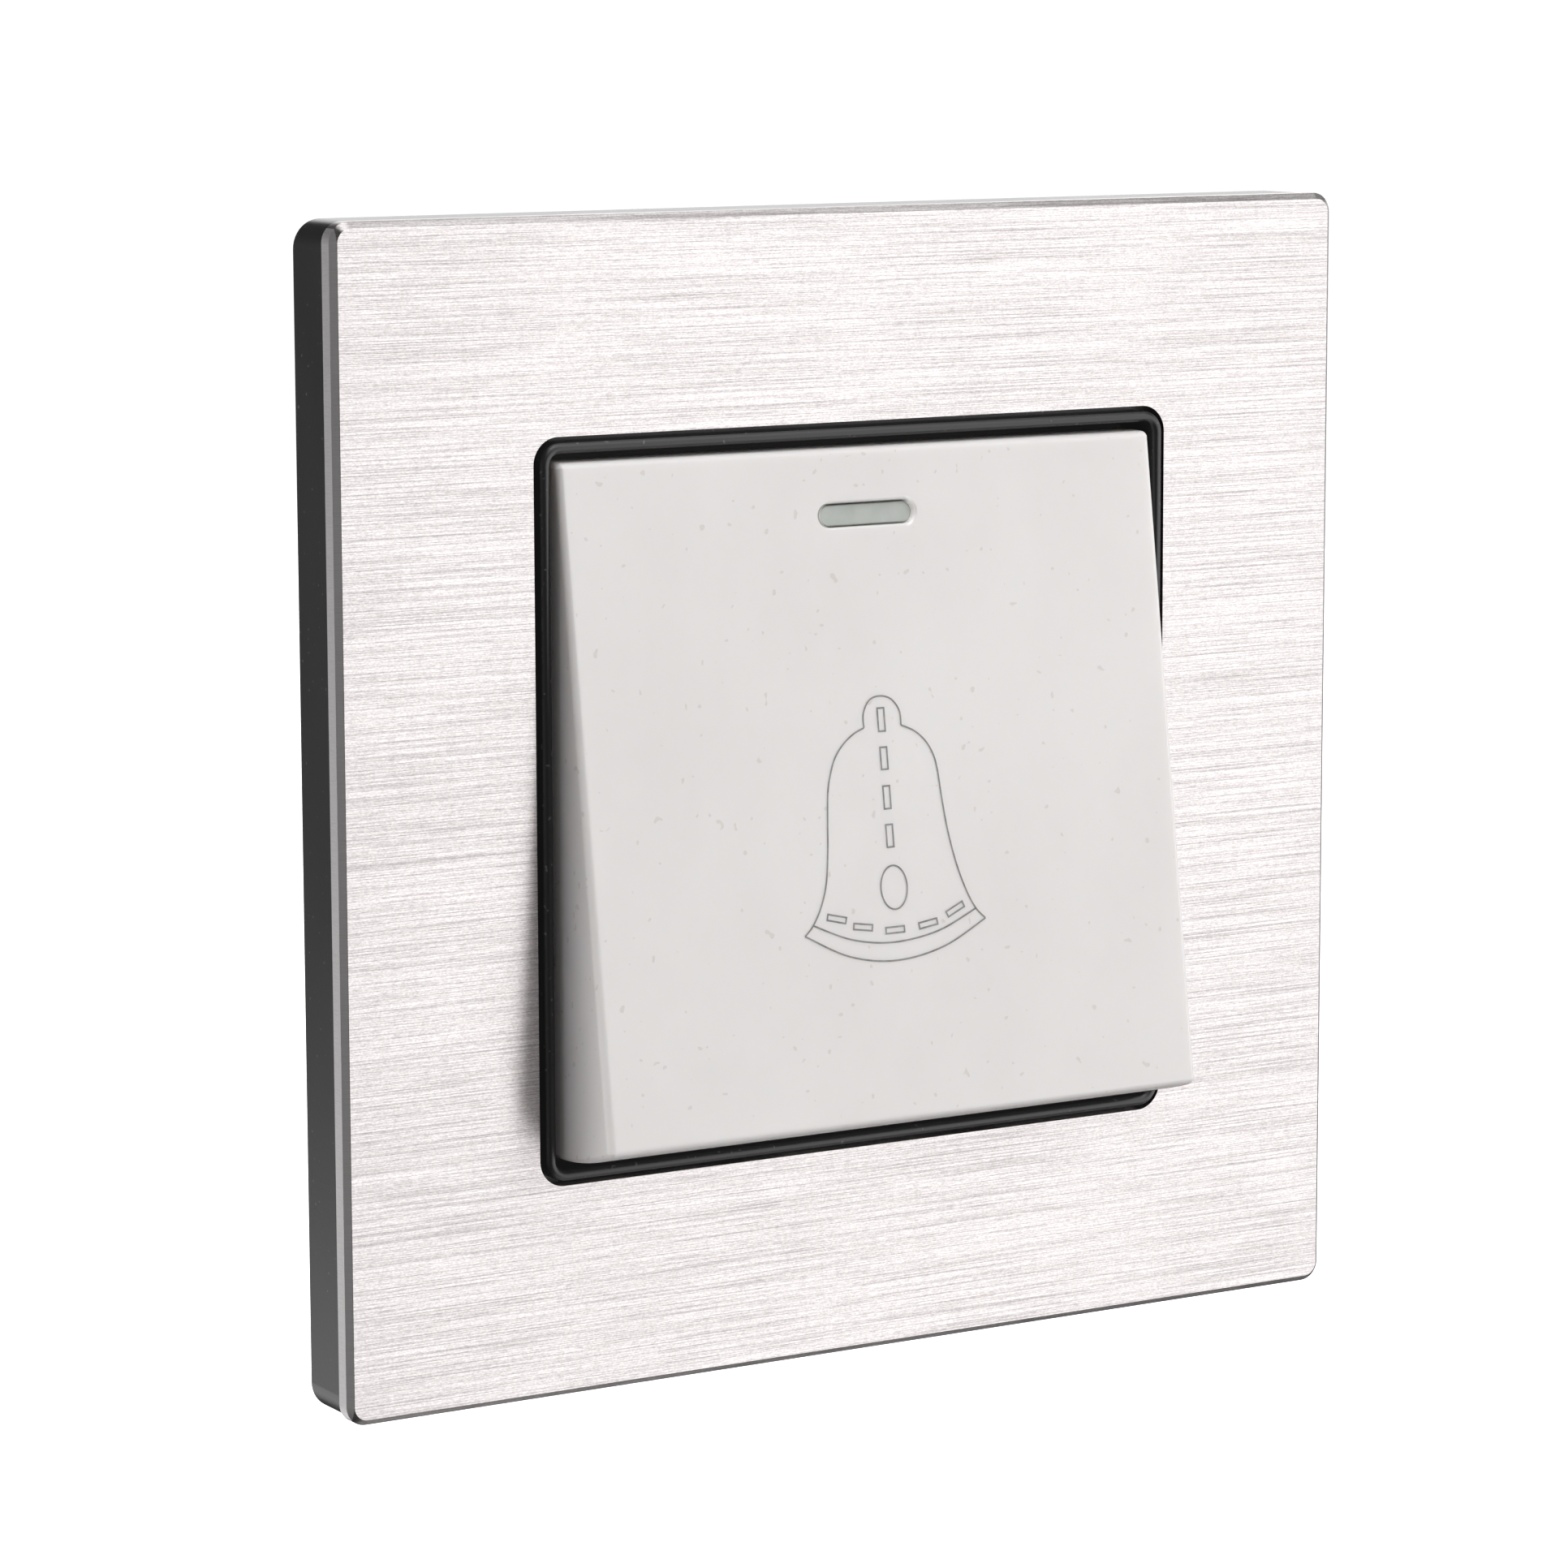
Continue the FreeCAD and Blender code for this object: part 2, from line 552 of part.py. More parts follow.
def base_moulding():
    """Flange, well, bearings, plunger guide, stop pads and stakes in one moulding."""
    ear_height = EAR_HALF_HEIGHT + YOKE_EAR_GAP
    base = rounded_block(FLANGE_SIZE, FLANGE_SIZE, FLANGE_CORNER, FLANGE_FRONT, YOKE_FRONT)
    outer_corner = WELL_CORNER + WELL_WALL
    tub = well_plan(WELL_OUTER, EAR_X + WELL_WALL, ear_height, outer_corner, FLANGE_FRONT, FLOOR_BACK)
    rim = [e for e in tub.Edges if e.BoundBox.YMin > FLOOR_BACK - TOUCH]
    base = base.fuse(tub.makeChamfer(WELL_CHAMFER, rim))
    cavity = well_plan(WELL_HALF, EAR_X, ear_height + WELL_WALL, WELL_CORNER, FLANGE_FRONT - PAST, WELL_FLOOR)
    base = base.cut(cavity)
    for side in (-1, 1):
        notch_x = side * FIXING_SPACING / 2
        notch = rod(SCREW_HEAD_ROOM, (notch_x, FLANGE_FRONT - PAST, 0), FLANGE_THICKNESS + PAST)
        base = base.cut(notch)
        base = base.fuse(trunnion_bearing(side))
        for end in (-1, 1):
            base = base.fuse(stop_pad(side * STOP_SIDE, end))
    base = base.fuse([stake(x, z) for x, z in stake_places()])
    base = base.fuse([screw_pillar(x, z) for x, z in housing_screw_places()])
    base = base.fuse(floor_ribs())
    outer = PLUNGER_RADIUS + PLUNGER_FIT + GUIDE_WALL
    base = base.fuse(rod(outer, (0, GUIDE_FRONT, -FOOT_OFFSET), FLOOR_BACK - GUIDE_FRONT))
    bore_length = FLOOR_BACK - GUIDE_FRONT + 2 * PAST
    base = base.cut(rod(PLUNGER_RADIUS + PLUNGER_FIT, (0, GUIDE_FRONT - PAST, -FOOT_OFFSET), bore_length))
    for side in (-1, 1):
        hole = rod(PIN_RADIUS + PIN_FIT, (side * PIN_X, WELL_FLOOR - PAST, PIN_Z), FLOOR_THICKNESS + 2 * PAST)
        base = base.cut(hole)
    for x, z in housing_screw_places():
        start = FLOOR_BACK - HOUSING_SCREW_BITE
        base = base.cut(rod(HOUSING_SCREW_RADIUS + SCREW_FIT, (x, start, z), HOUSING_SCREW_BITE + PAST))
    return base.removeSplitter()


def floor_ribs():
    """Short ribs behind the floor, above and below the rear housing."""
    low = HOUSING_HEIGHT / 2 + FLOOR_RIB_GAP
    high = WELL_OUTER - WELL_CHAMFER
    count = int(HOUSING_WIDTH / 2 // FLOOR_RIB_SPACING)
    half = FLOOR_RIB_THICKNESS / 2
    root = FLOOR_BACK - FLOOR_THICKNESS / 2
    ribs = []
    for place in range(-count, count + 1):
        x = place * FLOOR_RIB_SPACING
        for end in (-1, 1):
            profile = [(root, end * low), (FLOOR_BACK + FLOOR_RIB_HEIGHT, end * low),
                       (FLOOR_BACK, end * high), (root, end * high)]
            ribs.append(prism_x(profile, x - half, x + half))
    return ribs


def trunnion_bearing(side):
    """Upright with a round bearing, open to the front so that the trunnion snaps in."""
    radius = BEARING_RADIUS + BEARING_WALL
    outer_x = side * BEARING_OUTER_X
    inner_x = side * (BEARING_OUTER_X - BEARING_THICKNESS)
    low_x, high_x = sorted((outer_x, inner_x))
    foot = radius + BEARING_WALL
    profile = [(PIVOT_Y, -radius), (FLOOR_BACK, -foot), (FLOOR_BACK, foot), (PIVOT_Y, radius)]
    ear = prism_x(profile, low_x, high_x)
    ear = ear.fuse(rod(radius, (low_x, PIVOT_Y, 0), BEARING_THICKNESS, (1, 0, 0)))
    ear = ear.cut(rod(BEARING_RADIUS, (low_x - PAST, PIVOT_Y, 0), BEARING_THICKNESS + 2 * PAST, (1, 0, 0)))
    half = BEARING_MOUTH / 2
    front = PIVOT_Y - radius
    flare = half + BEARING_WALL / 2
    lip = front + BEARING_WALL / 2
    mouth = [(PIVOT_Y, -half), (PIVOT_Y, half), (lip, half), (front - PAST, flare + half),
             (front - PAST, -flare - half), (lip, -half)]
    return ear.cut(prism_x(mouth, low_x - PAST, high_x + PAST))


def stop_pad(centre_x, end):
    """Pad on the floor of the well under one of the key's stops."""
    top = PIVOT_Y + STOP_DEPTH * math.cos(TILT) + (STOP_OFFSET + STOP_SIZE / 2) * math.sin(TILT) + STOP_GAP
    half = STOP_SIZE / 2 + STOP_GAP
    centre_z = end * STOP_OFFSET
    return block((centre_x - half, top, centre_z - half), (centre_x + half, FLOOR_BACK, centre_z + half))


def stake(x, z):
    """Pin through the yoke, melted flush into its countersunk seat."""
    root = YOKE_FRONT - FLANGE_THICKNESS / 2
    pin = rod(STAKE_RADIUS, (x, root, z), -STAKE_FIT - root)
    return pin.fuse(stake_head(x, z, 0, -STAKE_FIT))


def housing_screw_places():
    """Centres of the four screws that hold the rear housing."""
    return [(side * BOSS_X, end * BOSS_Z) for side in (-1, 1) for end in (-1, 1)]


def screw_pillar(x, z):
    """Pillar on the floor of the well that a housing screw bites into."""
    length = HOUSING_SCREW_BITE + SCREW_FIT
    return rod(HOUSING_SCREW_RADIUS + WELL_WALL, (x, FLOOR_BACK - length, z), length)


def rear_housing():
    """Tub behind the base: corner bosses, ledges for the strips, spring post, ribs and openings."""
    tub = rounded_block(HOUSING_WIDTH, HOUSING_HEIGHT, HOUSING_CORNER, FLOOR_BACK, HOUSING_BACK)
    rim = [e for e in tub.Edges if e.BoundBox.YMin > HOUSING_BACK - TOUCH]
    tub = tub.makeChamfer(HOUSING_CHAMFER, rim)
    tub = tub.fuse(housing_ribs())
    inside_x = HOUSING_WIDTH / 2 - HOUSING_WALL
    inside_z = HOUSING_HEIGHT / 2 - HOUSING_WALL
    tub = tub.cut(block((-inside_x, FLOOR_BACK - PAST, -inside_z), (inside_x, HOUSING_FLOOR, inside_z)))
    parts = []
    for x, z in housing_screw_places():
        parts.append(rod(BOSS_RADIUS, (x, FLOOR_BACK, z), HOUSING_DEPTH))
    post_length = SPRING_POST_RISE + HOUSING_WALL / 2
    parts.append(rod(COLLAR_RADIUS, (0, SPRING_POST_FRONT, -FOOT_OFFSET), post_length))
    pin_radius = SPRING_MEAN_RADIUS - SPRING_WIRE
    pin_front = SPRING_POST_FRONT - SPRING_PIN_RISE
    parts.append(rod(pin_radius, (0, pin_front, -FOOT_OFFSET), SPRING_PIN_RISE + SPRING_POST_RISE / 2))
    for side in (-1, 1):
        parts.append(strip_ledge(side))
    tub = tub.fuse(parts)
    for x, z in housing_screw_places():
        hole_radius = HOUSING_SCREW_RADIUS + SCREW_FIT
        tub = tub.cut(rod(hole_radius, (x, FLOOR_BACK - PAST, z), HOUSING_DEPTH + 2 * PAST))
        sink = HOUSING_SCREW_HEAD_HEIGHT + PAST
        start = HOUSING_BACK - HOUSING_SCREW_HEAD_HEIGHT
        tub = tub.cut(rod(HOUSING_SCREW_HEAD + SCREW_FIT, (x, start, z), sink))
    for side in (-1, 1):
        x = side * TERMINAL_X
        well_radius = CLAMP_HEAD_RADIUS + CLAMP_WELL_GAP
        through = HOUSING_WALL + 2 * PAST
        tub = tub.cut(rod(well_radius, (x, HOUSING_FLOOR - PAST, TERMINAL_Z), through))
        tub = tub.cut(rod(WIRE_MOUTH_RADIUS, (x, WIRE_Y, inside_z - PAST), through, (0, 0, 1)))
        top = HOUSING_HEIGHT / 2
        lead = Part.makeCone(WIRE_MOUTH_RADIUS, WIRE_MOUTH_RADIUS + MOUTH_CHAMFER, MOUTH_CHAMFER,
                             Vector(x, WIRE_Y, top - MOUTH_CHAMFER), Vector(0, 0, 1))
        tub = tub.cut(lead)
    gauge_front = HOUSING_BACK - GAUGE_DEPTH
    gauge = stadium(GAUGE_LENGTH, GAUGE_WIDTH, gauge_front, HOUSING_BACK + PAST, 0, -FOOT_OFFSET)
    return tub.cut(gauge).removeSplitter()


def housing_ribs():
    """Grip ribs on both sides of the tub and the barrier between the two clamp screws."""
    half = GRIP_RIB_THICKNESS / 2
    front = FLOOR_BACK + GRIP_RIB_MARGIN
    back = HOUSING_BACK - GRIP_RIB_MARGIN
    reach = HOUSING_WIDTH / 2 + GRIP_RIB_RISE
    count = int((HOUSING_HEIGHT / 2 - HOUSING_CORNER) // GRIP_RIB_SPACING)
    ribs = []
    for place in range(-count, count + 1):
        z = place * GRIP_RIB_SPACING
        ribs.append(block((-reach, front, z - half), (reach, back, z + half)))
    low_z = TERMINAL_Z - TERMINAL_HEIGHT / 2 - BARRIER_MARGIN
    high_z = TERMINAL_Z + TERMINAL_HEIGHT / 2 + BARRIER_MARGIN
    thick = BARRIER_THICKNESS / 2
    ribs.append(block((-thick, HOUSING_FLOOR, low_z), (thick, HOUSING_BACK + BARRIER_RISE, high_z)))
    return ribs


def strip_ledge(side):
    """Pedestal from the tub's floor under the contact end of a strip."""
    half = STRIP_WIDTH / 2
    x = side * RIVET_X
    low = (x - half, STRIP_BACK, -FOOT_OFFSET - half)
    high = (x + half, HOUSING_FLOOR + HOUSING_WALL / 2, -FOOT_OFFSET + half)
    return block(low, high)


def housing_screws():
    """Four self-tapping screws with round heads and cross-cut slots."""
    screws = []
    for x, z in housing_screw_places():
        head_front = HOUSING_BACK - HOUSING_SCREW_HEAD_HEIGHT
        tip = FLOOR_BACK - HOUSING_SCREW_BITE + SCREW_FIT
        screw = rod(HOUSING_SCREW_RADIUS, (x, tip, z), head_front - tip)
        screw = screw.fuse(rod(HOUSING_SCREW_HEAD, (x, head_front, z), HOUSING_SCREW_HEAD_HEIGHT))
        screws.append(cross_cut(screw, x, z, HOUSING_BACK, HOUSING_SCREW_HEAD))
    return Part.makeCompound(screws)


def cross_cut(screw, x, z, top, head_radius):
    """Two crossed slots in a screw head that faces +Y."""
    half = SLOT_CUT_WIDTH / 2
    reach = head_radius * SLOT_CUT_REACH
    front = top - SLOT_CUT_DEPTH
    screw = screw.cut(block((x - half, front, z - reach), (x + half, top + PAST, z + reach)))
    return screw.cut(block((x - reach, front, z - half), (x + reach, top + PAST, z + half)))


def plunger():
    """Round pin with a crowned end, a collar under the floor and a nose for the spring."""
    stem = rod(PLUNGER_RADIUS, (0, CROWN_Y, -FOOT_OFFSET), COLLAR_FRONT - CROWN_Y)
    crown = [e for e in stem.Edges if e.BoundBox.YMax < CROWN_Y + TOUCH]
    stem = stem.makeFillet(PLUNGER_CROWN, crown)
    collar = rod(COLLAR_RADIUS, (0, COLLAR_FRONT, -FOOT_OFFSET), COLLAR_THICKNESS)
    nose = rod(NOSE_RADIUS, (0, COLLAR_BACK, -FOOT_OFFSET), NOSE_LENGTH)
    return stem.fuse([collar, nose]).removeSplitter()


def bridge_contact():
    """Brass strip across the plunger, held on its nose by the spring."""
    length = 2 * (RIVET_X + BRIDGE_END)
    bridge = rounded_block(length, BRIDGE_WIDTH, BRIDGE_WIDTH / 4, COLLAR_BACK, BRIDGE_BACK, 0, -FOOT_OFFSET)
    hole = rod(NOSE_RADIUS + SCREW_FIT, (0, COLLAR_BACK - PAST, -FOOT_OFFSET), BRIDGE_THICKNESS + 2 * PAST)
    bridge = bridge.cut(hole)
    for side in (-1, 1):
        shank_start = (side * RIVET_X, COLLAR_BACK - PAST, -FOOT_OFFSET)
        bridge = bridge.cut(rod(RIVET_SHANK, shank_start, BRIDGE_THICKNESS + 2 * PAST))
    return bridge


def contact_rivet(x, plate_front, plate_back, towards):
    """Silver rivet: a broad head on one face of its strip and a shank through it."""
    shank = rod(RIVET_SHANK, (x, plate_front, -FOOT_OFFSET), plate_back - plate_front)
    head_front = plate_back if towards > 0 else plate_front - RIVET_HEAD
    return shank.fuse(rod(RIVET_RADIUS, (x, head_front, -FOOT_OFFSET), RIVET_HEAD)).removeSplitter()


def bridge_rivets():
    """The two rivets of the bridge, facing the strips."""
    return Part.makeCompound([contact_rivet(s * RIVET_X, COLLAR_BACK, BRIDGE_BACK, 1) for s in (-1, 1)])


def fixed_rivets():
    """The two rivets of the contact strips, facing the bridge."""
    return Part.makeCompound([contact_rivet(s * RIVET_X, STRIP_FRONT, STRIP_BACK, -1) for s in (-1, 1)])


def contact_strip(side):
    """Flat brass strip from the rivet up to the terminal, with a tail to the indicator's pin."""
    half = STRIP_WIDTH / 2
    x = side * RIVET_X
    terminal_top = TERMINAL_Z + TERMINAL_HEIGHT / 2
    strip = block((x - half, STRIP_FRONT, -FOOT_OFFSET - half), (x + half, STRIP_BACK, terminal_top))
    low_x, high_x = sorted((side * (PIN_X - STRIP_TAIL_WIDTH / 2), x))
    arm_top = TERMINAL_Z + STRIP_TAIL_WIDTH
    strip = strip.fuse(block((low_x, STRIP_FRONT, TERMINAL_Z), (high_x, STRIP_BACK, arm_top)))
    tail_x = side * PIN_X - STRIP_TAIL_WIDTH / 2
    tail_top = PIN_Z + STRIP_TAIL_WIDTH / 2
    tail = block((tail_x, STRIP_FRONT, TERMINAL_Z), (tail_x + STRIP_TAIL_WIDTH, STRIP_BACK, tail_top))
    strip = strip.fuse(tail)
    strip = strip.cut(rod(RIVET_SHANK, (x, STRIP_FRONT - PAST, -FOOT_OFFSET), STRIP_THICKNESS + 2 * PAST))
    return strip.removeSplitter()


def terminal_block(side):
    """Brass block with a wire hole along Z and a clamp screw hole from behind."""
    half = TERMINAL_WIDTH / 2
    x = side * TERMINAL_X
    low_z = TERMINAL_Z - TERMINAL_HEIGHT / 2
    solid = block((x - half, STRIP_BACK, low_z), (x + half, TERMINAL_BACK, low_z + TERMINAL_HEIGHT))
    solid = solid.cut(rod(WIRE_HOLE_RADIUS, (x, WIRE_Y, low_z - PAST), TERMINAL_HEIGHT + 2 * PAST, (0, 0, 1)))
    return solid.cut(rod(CLAMP_SCREW_RADIUS + SCREW_FIT, (x, WIRE_Y, TERMINAL_Z), TERMINAL_BACK))


def terminal_screws():
    """The two clamp screws, seen in round wells in the back of the housing."""
    screws = []
    for side in (-1, 1):
        x = side * TERMINAL_X
        start = WIRE_Y + WIRE_HOLE_RADIUS
        head_front = TERMINAL_BACK + CLAMP_WELL_GAP
        screw = rod(CLAMP_SCREW_RADIUS, (x, start, TERMINAL_Z), head_front - start)
        screw = screw.fuse(rod(CLAMP_HEAD_RADIUS, (x, head_front, TERMINAL_Z), CLAMP_HEAD_HEIGHT))
        screws.append(cross_cut(screw, x, TERMINAL_Z, head_front + CLAMP_HEAD_HEIGHT, CLAMP_HEAD_RADIUS))
    return Part.makeCompound(screws)


def return_spring():
    """Round wire coil between the bridge and the post in the tub."""
    low = BRIDGE_BACK + SPRING_END_GAP + SPRING_WIRE / 2
    high = SPRING_POST_FRONT - SPRING_END_GAP - SPRING_WIRE / 2
    height = high - low
    helix = Part.makeHelix(height / SPRING_TURNS, height, SPRING_MEAN_RADIUS)
    ring = Part.Circle(Vector(SPRING_MEAN_RADIUS, 0, 0), Vector(0, 1, 0), SPRING_WIRE / 2)
    coil = Part.Wire(helix.Edges).makePipeShell([Part.Wire(ring.toShape())], True, True)
    coil.rotate(Vector(0, 0, 0), Vector(1, 0, 0), -90)
    coil.translate(Vector(0, low, -FOOT_OFFSET))
    return coil


def indicator_board():
    """Small circuit board on the floor of the well."""
    front = WELL_FLOOR - BOARD_THICKNESS
    low = PIN_Z - BOARD_EDGE
    high = LAMP_Z + BOARD_RISE
    board = rounded_block(BOARD_WIDTH, high - low, BOARD_THICKNESS, front, WELL_FLOOR, 0, (low + high) / 2)
    for side in (-1, 1):
        board = board.cut(rod(PIN_RADIUS, (side * PIN_X, front - PAST, PIN_Z), BOARD_THICKNESS + 2 * PAST))
    return board


def indicator_lamp():
    """Round lamp with a rim, on the board behind the window."""
    board_front = WELL_FLOOR - BOARD_THICKNESS
    body = rod(LAMP_RADIUS, (0, board_front - LAMP_HEIGHT, LAMP_Z), LAMP_HEIGHT)
    top = [e for e in body.Edges if e.BoundBox.YMax < board_front - LAMP_HEIGHT + TOUCH]
    body = body.makeFillet(LAMP_RADIUS / 2, top)
    return body.fuse(rod(LAMP_RIM_RADIUS, (0, board_front - LAMP_RIM, LAMP_Z), LAMP_RIM)).removeSplitter()


def indicator_resistor():
    """Small round resistor lying across the board."""
    x = BOARD_WIDTH / 2 - 2 * RESISTOR_RADIUS
    y = WELL_FLOOR - BOARD_THICKNESS - RESISTOR_RADIUS
    low = LAMP_Z - RESISTOR_LENGTH / 2
    return rod(RESISTOR_RADIUS, (x, y, low), RESISTOR_LENGTH, (0, 0, 1))


def indicator_pins():
    """Two pins from the board to the tails of the contact strips."""
    start = WELL_FLOOR - BOARD_THICKNESS - PIN_RADIUS
    length = STRIP_FRONT - start
    return Part.makeCompound([rod(PIN_RADIUS, (s * PIN_X, start, PIN_Z), length) for s in (-1, 1)])


NODES = {
    "face_plate": face_plate,
    "plate_tape": lambda: tape_ring(PLATE_BACK, PLATE_BACK + TAPE_THICKNESS),
    "trim_frame": trim_frame,
    "rocker_key": rocker_key,
    "indicator_window": indicator_window,
    "mounting_yoke": mounting_yoke,
    "base_moulding": base_moulding,
    "rear_housing": rear_housing,
    "housing_screws": housing_screws,
    "plunger": plunger,
    "bridge_contact": bridge_contact,
    "bridge_rivets": bridge_rivets,
    "return_spring": return_spring,
    "left_contact_strip": lambda: contact_strip(-1),
    "right_contact_strip": lambda: contact_strip(1),
    "fixed_rivets": fixed_rivets,
    "left_terminal": lambda: terminal_block(-1),
    "right_terminal": lambda: terminal_block(1),
    "terminal_screws": terminal_screws,
    "indicator_board": indicator_board,
    "indicator_lamp": indicator_lamp,
    "indicator_resistor": indicator_resistor,
    "indicator_pins": indicator_pins,
}

os.makedirs("parts", exist_ok=True)
for name, make in NODES.items():
    make().exportStep("parts/" + name + ".step")
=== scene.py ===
import bmesh
import bpy
import math
import numpy as np
from mathutils import Matrix, Vector


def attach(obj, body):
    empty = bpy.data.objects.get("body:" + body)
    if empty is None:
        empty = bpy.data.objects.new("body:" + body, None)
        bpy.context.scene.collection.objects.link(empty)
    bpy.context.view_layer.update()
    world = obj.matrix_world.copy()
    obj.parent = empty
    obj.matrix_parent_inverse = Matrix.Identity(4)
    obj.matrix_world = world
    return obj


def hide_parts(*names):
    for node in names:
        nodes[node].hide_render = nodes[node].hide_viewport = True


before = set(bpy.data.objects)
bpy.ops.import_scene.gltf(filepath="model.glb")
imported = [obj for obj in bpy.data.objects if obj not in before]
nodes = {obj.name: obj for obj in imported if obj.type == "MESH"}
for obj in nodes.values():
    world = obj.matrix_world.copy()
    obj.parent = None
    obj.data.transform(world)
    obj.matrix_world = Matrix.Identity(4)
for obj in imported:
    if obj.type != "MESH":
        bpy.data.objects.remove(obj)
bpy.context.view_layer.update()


# Camera: in front of the wall, to the left and a little above, with a long lens.
turn, drop, roll = math.radians(30.975), math.radians(8.557), math.radians(-0.178)
ahead = Vector((math.sin(turn) * math.cos(drop), math.cos(turn) * math.cos(drop), -math.sin(drop)))
across = Vector((math.cos(turn), -math.sin(turn), 0))
upward = across.cross(ahead)
right = math.cos(roll) * across + math.sin(roll) * upward
top = math.cos(roll) * upward - math.sin(roll) * across
lens = bpy.data.cameras.new("camera")
lens.lens = 125.32
lens.sensor_width = 36.0
lens.clip_start = 0.02
lens.clip_end = 90.0
camera = bpy.data.objects.new("camera", lens)
bpy.context.scene.collection.objects.link(camera)
pose = Matrix((right, top, -ahead)).transposed().to_4x4()
pose.translation = (-0.211474, -0.347437, 0.060684)
camera.matrix_world = pose
bpy.context.scene.camera = camera
bpy.context.scene.view_settings.view_transform = "Standard"


# Light: a dim pale room, a broad soft panel ahead on the right and others above, below and overhead.
# A strong one far to the left only reaches past the plate's edge, and a weak one stands ahead on the left.
# Two behind light the back and the cut edge.
world = bpy.data.worlds.new("room")
bpy.context.scene.world = world
world.use_nodes = True
world.node_tree.nodes["Background"].inputs["Color"].default_value = (1.0, 0.985, 0.975, 1)
world.node_tree.nodes["Background"].inputs["Strength"].default_value = 0.055
panels = [
    ("panel_ahead", (0.945, -0.765, -0.16), 1.45, 13.7, (1.0, 0.992, 0.986)),
    ("panel_above", (0.25, -0.75, 0.95), 1.3, 12.8, (1.0, 0.994, 0.99)),
    ("panel_left", (-1.35, 0.43, 0.0), 0.9, 27.0, (1.0, 0.994, 0.99)),
    ("panel_below", (0.25, -0.65, -1.15), 1.1, 3.8, (1.0, 0.994, 0.99)),
    ("panel_overhead", (-0.04, -0.40, 1.09), 0.55, 2.0, (1.0, 1.0, 1.0)),
    ("panel_ahead_left", (-1.09, -0.65, -0.12), 0.85, 0.5, (1.0, 0.994, 0.99)),
    ("panel_behind_low", (-0.6, 1.0, -0.75), 0.9, 3.9, (1.0, 1.0, 1.0)),
    ("panel_behind", (0.9, 1.1, 0.7), 1.3, 10.0, (1.0, 1.0, 1.0)),
]
for name, place, size, power, tint in panels:
    light = bpy.data.lights.new(name, "AREA")
    light.shape = "SQUARE"
    light.size = size
    light.energy = power
    light.color = tint
    lamp = bpy.data.objects.new(name, light)
    lamp.location = place
    lamp.rotation_mode = "QUATERNION"
    lamp.rotation_quaternion = (-Vector(place)).to_track_quat("-Z", "Y")
    bpy.context.scene.collection.objects.link(lamp)


# Floor: one wide pale sheet below the object, seen by the camera but casting no light on it.
corners = [(-12, -12), (45, -12), (45, 50), (-12, 50)]
floor_mesh = bpy.data.meshes.new("floor")
floor_mesh.from_pydata([(x, y, -0.16) for x, y in corners], [], [(0, 1, 2, 3)])
floor = bpy.data.objects.new("floor", floor_mesh)
bpy.context.scene.collection.objects.link(floor)
pale = bpy.data.materials.new("pale_floor")
pale.use_nodes = True
shader = pale.node_tree.nodes["Principled BSDF"]
shader.inputs["Base Color"].default_value = (0.9, 0.9, 0.9, 1)
shader.inputs["Roughness"].default_value = 0.9
shader.inputs["Emission Color"].default_value = (1, 1, 1, 1)
shader.inputs["Emission Strength"].default_value = 1.0
floor_mesh.materials.append(pale)
floor.visible_diffuse = False
floor.visible_glossy = False
floor.visible_transmission = False


# Face plate: brushed aluminium sheet with a cut chamfer, bonded to the trim frame.
# Anodised metal with horizontal brush lines of three lengths, fine speckle and a faint pink cast.
# The cut edge, past the flat face, is brighter and blunter than the brushed face.
def new_surface(name, colour, roughness, metallic=0.0):
    """Material with one shader; returns it, its node tree, the shader and the object coordinates."""
    made = bpy.data.materials.new(name)
    made.use_nodes = True
    tree = made.node_tree
    principled = tree.nodes["Principled BSDF"]
    principled.inputs["Base Color"].default_value = (*colour, 1)
    principled.inputs["Roughness"].default_value = roughness
    principled.inputs["Metallic"].default_value = metallic
    place = tree.nodes.new("ShaderNodeTexCoord").outputs["Object"]
    return made, tree, principled, place


def grain(tree, place, scale, detail=3.0, rough=0.55):
    """Noise on object coordinates stretched by a scale along each axis."""
    stretch = tree.nodes.new("ShaderNodeMapping")
    stretch.inputs["Scale"].default_value = scale
    tree.links.new(place, stretch.inputs["Vector"])
    noise = tree.nodes.new("ShaderNodeTexNoise")
    noise.inputs["Scale"].default_value = 1.0
    noise.inputs["Detail"].default_value = detail
    noise.inputs["Roughness"].default_value = rough
    tree.links.new(stretch.outputs["Vector"], noise.inputs["Vector"])
    return noise.outputs["Fac"]


def ramp(tree, factor, stops):
    """Colour ramp from (position, colour) stops."""
    band = tree.nodes.new("ShaderNodeValToRGB")
    points = band.color_ramp.elements
    while len(points) < len(stops):
        points.new(0.5)
    for point, (position, colour) in zip(points, stops):
        point.position = position
        point.color = (*colour, 1)
    tree.links.new(factor, band.inputs["Fac"])
    return band.outputs["Color"]


def blend(tree, kind, share, first, second):
    """Mix of two colours."""
    mix = tree.nodes.new("ShaderNodeMix")
    mix.data_type = "RGBA"
    mix.blend_type = kind
    mix.inputs["Factor"].default_value = share
    tree.links.new(first, mix.inputs["A"])
    tree.links.new(second, mix.inputs["B"])
    return mix.outputs["Result"]


def choose(tree, mask, first, second):
    """First colour where the mask is 0, second where it is 1."""
    mix = tree.nodes.new("ShaderNodeMix")
    mix.data_type = "RGBA"
    tree.links.new(mask, mix.inputs["Factor"])
    tree.links.new(first, mix.inputs["A"])
    tree.links.new(second, mix.inputs["B"])
    return mix.outputs["Result"]


